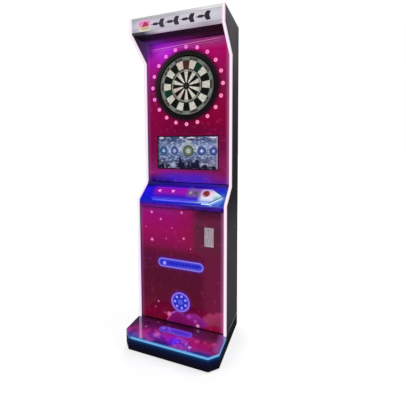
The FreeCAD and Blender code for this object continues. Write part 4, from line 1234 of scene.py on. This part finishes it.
def square_cap(node, turn):
    """A square cap with chamfered edges and a lit arrow let into its top."""
    start, end = on_console(node)
    centre = (start + end) / 2
    foot = head_foot(node)
    cap = Shape(CONSOLE)
    cap.block((start.x, start.y, foot), tuple(end), 0, 2 * MM)
    cap.turned([(STEM, 0.0), (STEM, foot + 1 * MM - start.z)], (centre.x, centre.y, start.z), 24)
    arrow = at((centre.x, centre.y), -2 * math.cos(turn), -2 * math.sin(turn))
    outline = []
    for corner, (u, v) in enumerate(circle(*arrow, GLYPH, 3, turn)):
        heading = turn + corner * 2 * math.pi / 3
        outline += [at((u, v), 2 * math.cos(heading + bend), 2 * math.sin(heading + bend))
                    for bend in (-math.pi / 6, 0.0, math.pi / 6)]
    cap.prism(outline, end.z - 0.5 * MM, end.z + 0.35 * MM, 1)
    cap.piece(f"{node}_cap", node, [ARROW_CAP, emit(f"glow_{node}", "#ff90f4", 1.1)], (node,))


def round_cap(node, look, dome=-0.8 * MM, collar=2.5 * MM, collar_code="#6c3c98"):
    """A round cap with a soft edge and a dished or domed top, and the collar that it moves in."""
    start, end = on_console(node)
    centre = (start + end) / 2
    radius = (end.x - start.x) / 2
    cap = Shape(CONSOLE)
    top = end.z - start.z
    foot = head_foot(node) - start.z
    edge = 1.6 * MM
    crown = [(radius * share, top + dome * (1 - share ** 2)) for share in (0.9, 0.75, 0.55, 0.35, 0.15, 0.01)]
    cap.turned([(STEM, 0.0), (STEM, foot), (radius, foot), (radius, top - edge),
                (radius - edge * 0.3, top - edge * 0.3), *crown], (centre.x, centre.y, start.z), 48)
    cap.piece(f"{node}_cap", node, [look], (node,))
    rim = Shape(CONSOLE)
    inner = radius + 0.8 * MM
    section = [at((inner, 0), *step) for step in ((0, -0.2), (0, 1.6), (0.5, 2.0))]
    section += [at((inner + collar, 0), *step) for step in ((-1.2, 1.8), (0, 0.6), (0, -0.2))]
    rim.ring(section, (centre.x, centre.y, PLATE_HIGH.z), 48)
    rim.piece(f"{node}_collar", "cabinet", [emit(f"collar_{node}", collar_code, 0.55, 0.3, 0.4)])


def console_tip_light():
    """Bright line of light on the deck round the plate's lower right corner."""
    corner, end = Vector((PLATE_CORNER, PLATE_LOW.y)), Vector((PLATE_HIGH.x, PLATE_MIDDLE))
    near, far, front = 1.5 * MM, 6 * MM, PLATE_LOW.y - 7 * MM
    begin, back = corner.x - 52 * MM, front - 5 * MM
    inner = corner + TIP_OUT * near + TIP_ALONG * ((front - corner.y - TIP_OUT.y * near) / TIP_ALONG.y)
    outer = corner + TIP_OUT * far + TIP_ALONG * ((back - corner.y - TIP_OUT.y * far) / TIP_ALONG.y)
    outline = [(begin, back), outer, end + TIP_OUT * far, end + TIP_OUT * near, inner, (begin, front)]
    tip = Shape(CONSOLE)
    tip.prism([tuple(point) for point in outline], PLATE_LOW.z - 0.2 * MM, PLATE_LOW.z + 2.4 * MM)
    tip.piece("console_tip_light", "cabinet", [emit("glow_tip", "#d4ecff")], smooth=False)


# ---------------------------------------------------------------- lower door
def badge_trim():
    """Rim round the badge, a lamp at its left end and a row of plain chevrons inside it."""
    trim = Shape()
    face = -low("badge_lens").y
    radius = BADGE_RADIUS - 2 * MM
    turns = [math.pi * step / 16 - math.pi / 2 for step in range(17)]
    outline = [(side * (BADGE_REACH + math.cos(turn) * radius), BADGE.z + side * math.sin(turn) * radius)
               for side in (1, -1) for turn in turns]
    section = ((2.0, 0.0), (1.6, 1.2), (0.2, 1.9), (-2.2, 1.8), (-4.2, 1.0), (-4.6, 0.0))
    loops = []
    for i, (u, v) in enumerate(outline):
        before, after = outline[i - 1], outline[(i + 1) % len(outline)]
        along = Vector((after[0] - before[0], after[1] - before[1])).normalized()
        loops.append(trim.place([at((u, v, face), along.y * reach, -along.x * reach, rise - 0.1)
                                 for reach, rise in section]))
    trim.band(loops)
    lamp = (-BADGE_REACH + 18 * MM, BADGE.z - 4 * MM, face - 0.2 * MM)
    trim.turned(mm((13, 0), (12, 1.2), (8, 2.2), (0.2, 2.6)), lamp, 28, 2)
    chevron = ((-7, 10), (0, 0), (-7, -10), (0, -10), (7, 0), (0, 10))
    for step in range(9):
        trim.raised([at(((step - 3) * 24 * MM, BADGE.z), *corner) for corner in chevron], face, 0.5, 1)
    looks = [emit("badge_rim", "#9078e0", 0.95), emit("badge_chevron", "#141494", 0.9),
             emit("badge_lamp", "#a094f8")]
    trim.piece("badge_trim", "lower_door", looks)


def speaker_lights():
    """Domed lamps in a circle on the grille, and the raised ring round its edge."""
    lamps = Shape()
    face = -low("speaker_grille").y
    dome = mm((8.6, 0), (8.2, 1), (6.2, 2), (3, 2.6), (0.2, 2.8))
    for u, v in circle(SPEAKER.x, SPEAKER.z, 41 * MM, SPEAKER_LAMPS, math.pi / SPEAKER_LAMPS):
        lamps.turned(dome, (u, v, face - 0.2 * MM), 24)
    rim = [at((SPEAKER_RADIUS, 0), *step)
           for step in ((-0.5, -1), (-0.5, 1), (-2.5, 2.4), (-5.5, 2.2), (-7.5, 0.6), (-7.5, -1))]
    lamps.ring(rim, (SPEAKER.x, SPEAKER.z, face), 72, 1)
    hub = mm((17, -0.2), (16.4, 1.2), (12, 2.2), (5, 2.6), (0.2, 2.7))
    lamps.turned(hub, (SPEAKER.x, SPEAKER.z, face), 32, 2)
    looks = [emit("speaker_lamp", "#9c96ff"), emit("speaker_rim", "#8c6cdc", 0.95),
             emit("speaker_hub", "#5058e0", 0.95)]
    lamps.piece("speaker_lights", "lower_door", looks)


def socket_screw(shape, centre, radius, look=0):
    """A pan-head screw with a round socket."""
    shares = ((0.82, 0.5), (0.45, 0.56), (0.4, 0.15), (0.02, 0.15))
    profile = [(radius, -0.1 * MM), (radius, radius * 0.25), *[(radius * u, radius * v) for u, v in shares]]
    shape.turned(profile, centre, 20, look)


def coin_trim():
    """Raised frame round the coin slot, its fixing screws and the rim of the reject button."""
    trim = Shape()
    plate_low, plate_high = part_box("coin_plate")
    face = -plate_low.y
    top = ((plate_low.x + plate_high.x) / 2, plate_high.z, face)
    for side in (-7, 2.2):
        trim.block(at(top, side, -52, -0.2), at(top, side + 4.8, -6, 3), 0, 0.8 * MM)
    for foot in (-55, -6):
        trim.block(at(top, -7, foot, -0.2), at(top, 7, foot + 3, 3), 0, 0.8 * MM)
    for side in (-24, 24):
        for up in (plate_low.z + 7 * MM, plate_high.z - 7 * MM):
            socket_screw(trim, (top[0] + side * MM, up, face), 3.4 * MM)
    button = middle("reject_button")
    trim.ring(mm((8.6, -0.2), (8.6, 2.4), (9.8, 3), (12, 2), (12.6, -0.2)), (button.x, button.z, face), 32)
    trim.piece("coin_trim", "lower_door", [COIN_STEEL])


# ---------------------------------------------------------------- back and inside
def solid_centres(node):
    """The middle of each separate solid of a node, found by growing patches of joined vertices."""
    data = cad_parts[node].data
    patch = bmesh.new()
    patch.from_mesh(data)
    bmesh.ops.remove_doubles(patch, verts=patch.verts, dist=1e-6)
    seen, centres = set(), []
    for seed in patch.verts:
        if seed in seen:
            continue
        group, edge = [], [seed]
        seen.add(seed)
        while edge:
            vertex = edge.pop()
            group.append(vertex.co.copy())
            for link in vertex.link_edges:
                other = link.other_vert(vertex)
                if other not in seen:
                    seen.add(other)
                    edge.append(other)
        lows = Vector([min(p[i] for p in group) for i in range(3)])
        highs = Vector([max(p[i] for p in group) for i in range(3)])
        centres.append((lows + highs) / 2)
    patch.free()
    return centres


def panel_screw_heads():
    """Screws round the edge of the back panel."""
    heads = Shape(BACK)
    base = low("panel_screws").y
    for spot in solid_centres("panel_screws"):
        socket_screw(heads, (-spot.x, spot.z, base), 4.5 * MM)
    heads.piece("panel_screw_heads", "cabinet", [STEEL], ("panel_screws",))


def board_parts():
    """Capacitors, connectors and a finned heat sink on the control board."""
    parts = Shape(LEVEL)
    board_low, board_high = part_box("control_board")
    deck = board_high.z - 5 * MM
    corner = (board_low.x, board_low.y, deck)
    for step in range(5):
        can = mm((4.6, 0), (5, 1), (5, 11), (4.2, 12), (0.2, 12))
        parts.turned(can, at(corner, 14 + step * 13, 10, -0.2), 20, 1)
    for step in range(4):
        left = 96 + step * 21
        parts.block(at(corner, left, 3, -0.2), at(corner, left + 16, 13, 9), 2, 0.8 * MM)
    sink = (board_high.x - 62 * MM, board_low.y + 40 * MM, deck)
    parts.block(sink, at(sink, 50, 34, 8), 3)
    for step in range(9):
        parts.block(at(sink, step * 6, 0, 7), at(sink, step * 6 + 1.6, 34, 18), 3)
    looks = [CIRCUIT, BLACK_PLASTIC, moulded("plastic_connector", "#d8d2bc", 0.5), STEEL]
    parts.piece("board_parts", "cabinet", looks)


def supply_parts():
    """Pressed vents and the terminal screws of the power supply."""
    parts = Shape(LEVEL)
    case_low, case_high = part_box("power_supply")
    left, right = (case_low.x, case_low.y, case_high.z), (case_high.x, case_low.y, case_high.z)
    for front in range(26, 147, 15):
        parts.block(at(left, 14, front, -0.3), at(right, -14, front + 5, 1.4), 0, 1.2 * MM)
    for step in range(6):
        socket_screw(parts, at(case_low, 18 + step * 15, 6, 18), 3.2 * MM, 1)
    parts.piece("supply_parts", "cabinet", [STEEL, COIN_STEEL])


target_numbers()
wire_rings()
display_icons()
header_art()
square_cap("left_arrow_button", math.pi)
square_cap("down_arrow_button", -math.pi / 2)
round_cap("select_button", SELECT_CAP)
round_cap("back_button", BACK_CAP)
round_cap("start_button", START_CAP, 4.5 * MM, 5 * MM, "#d8c4dc")
console_tip_light()
badge_trim()
speaker_lights()
coin_trim()
panel_screw_heads()
board_parts()
supply_parts()


# ---------------------------------------------------------------- studio
ROOM_LIGHT = 0.15
MIRRORED_LIGHT = 0.05


def pale_floor():
    """A pale floor, as bright to the camera as the room behind it, that lights the object no more."""
    look = Look("floor_pale", rough=0.8, level=0.05)
    cloud = look.noise(0.8)
    look.paint(look.mix(cloud.rise(0.3, 0.7), "#d8d8dc", "#dededf"))
    look.shine("#ffffff")
    seen = Field(look, look.node("LightPath").outputs["Is Camera Ray"])
    look.set("glow", seen * (look.far_in_plan(0.0, 0.0).rise(0.6, 3.5) * 0.3 + 0.72))
    half = 30.0
    corners = [(-half, -half, 0), (half, -half, 0), (half, half, 0), (-half, half, 0)]
    floor = bpy.data.meshes.new("floor")
    floor.from_pydata(corners, [], [(0, 1, 2, 3)])
    floor.materials.append(look.material)
    made = bpy.data.objects.new("floor", floor)
    bpy.context.scene.collection.objects.link(made)


def soft_light(name, place, aim, size, power, mirrored=True):
    """A round lamp of a size in metres and a power in watts, turned to its aim."""
    lamp = bpy.data.lights.new(name, "AREA")
    lamp.shape = "DISK"
    lamp.size = size
    lamp.energy = power
    made = bpy.data.objects.new(name, lamp)
    made.location = place
    made.rotation_euler = (Vector(aim) - Vector(place)).to_track_quat("-Z", "Y").to_euler()
    made.visible_glossy = mirrored
    bpy.context.scene.collection.objects.link(made)


def white_room():
    """A white room, dimmer as a light than as a background, so that dark gloss stays dark."""
    world = bpy.data.worlds.new("room")
    bpy.context.scene.world = world
    world.use_nodes = True
    tree = world.node_tree
    tree.nodes.clear()
    path = tree.nodes.new("ShaderNodeLightPath")
    room = tree.nodes.new("ShaderNodeBackground")
    room.inputs["Color"].default_value = (1.0, 1.0, 1.0, 1.0)
    out = tree.nodes.new("ShaderNodeOutputWorld")
    level = None
    for ray, strength in (("Is Glossy Ray", MIRRORED_LIGHT), ("Is Camera Ray", 1.0)):
        step = tree.nodes.new("ShaderNodeMapRange")
        step.inputs["To Min"].default_value = ROOM_LIGHT
        step.inputs["To Max"].default_value = strength
        tree.links.new(path.outputs[ray], step.inputs["Value"])
        if level:
            tree.links.new(level, step.inputs["To Min"])
        level = step.outputs[0]
    tree.links.new(level, room.inputs["Strength"])
    tree.links.new(room.outputs[0], out.inputs["Surface"])


def camera():
    """The viewer stands to the right of the cabinet, above its console, and looks slightly down at it."""
    yaw, pitch, roll = 0.3546, -0.06785, 0.0022
    lens = bpy.data.cameras.new("camera")
    lens.lens = 25.01
    lens.sensor_width = 36.0
    lens.shift_y = -0.1
    made = bpy.data.objects.new("camera", lens)
    made.location = (0.7883, -1.7175, 1.3402)
    made.rotation_euler = (math.pi / 2 + pitch, roll, yaw)
    bpy.context.scene.collection.objects.link(made)
    bpy.context.scene.camera = made


pale_floor()
white_room()
soft_light("key", (-2.4, -2.7, 4.0), (0, 0, 1.1), 2.4, 40)
soft_light("side", (3.0, 0.9, 3.4), (0.3, 0, 1.6), 2.0, 42)
soft_light("back", (-1.5, 3.2, 2.6), (0, 0, 1.2), 2.4, 45, mirrored=False)
camera()
bpy.context.scene.view_settings.view_transform = "Standard"
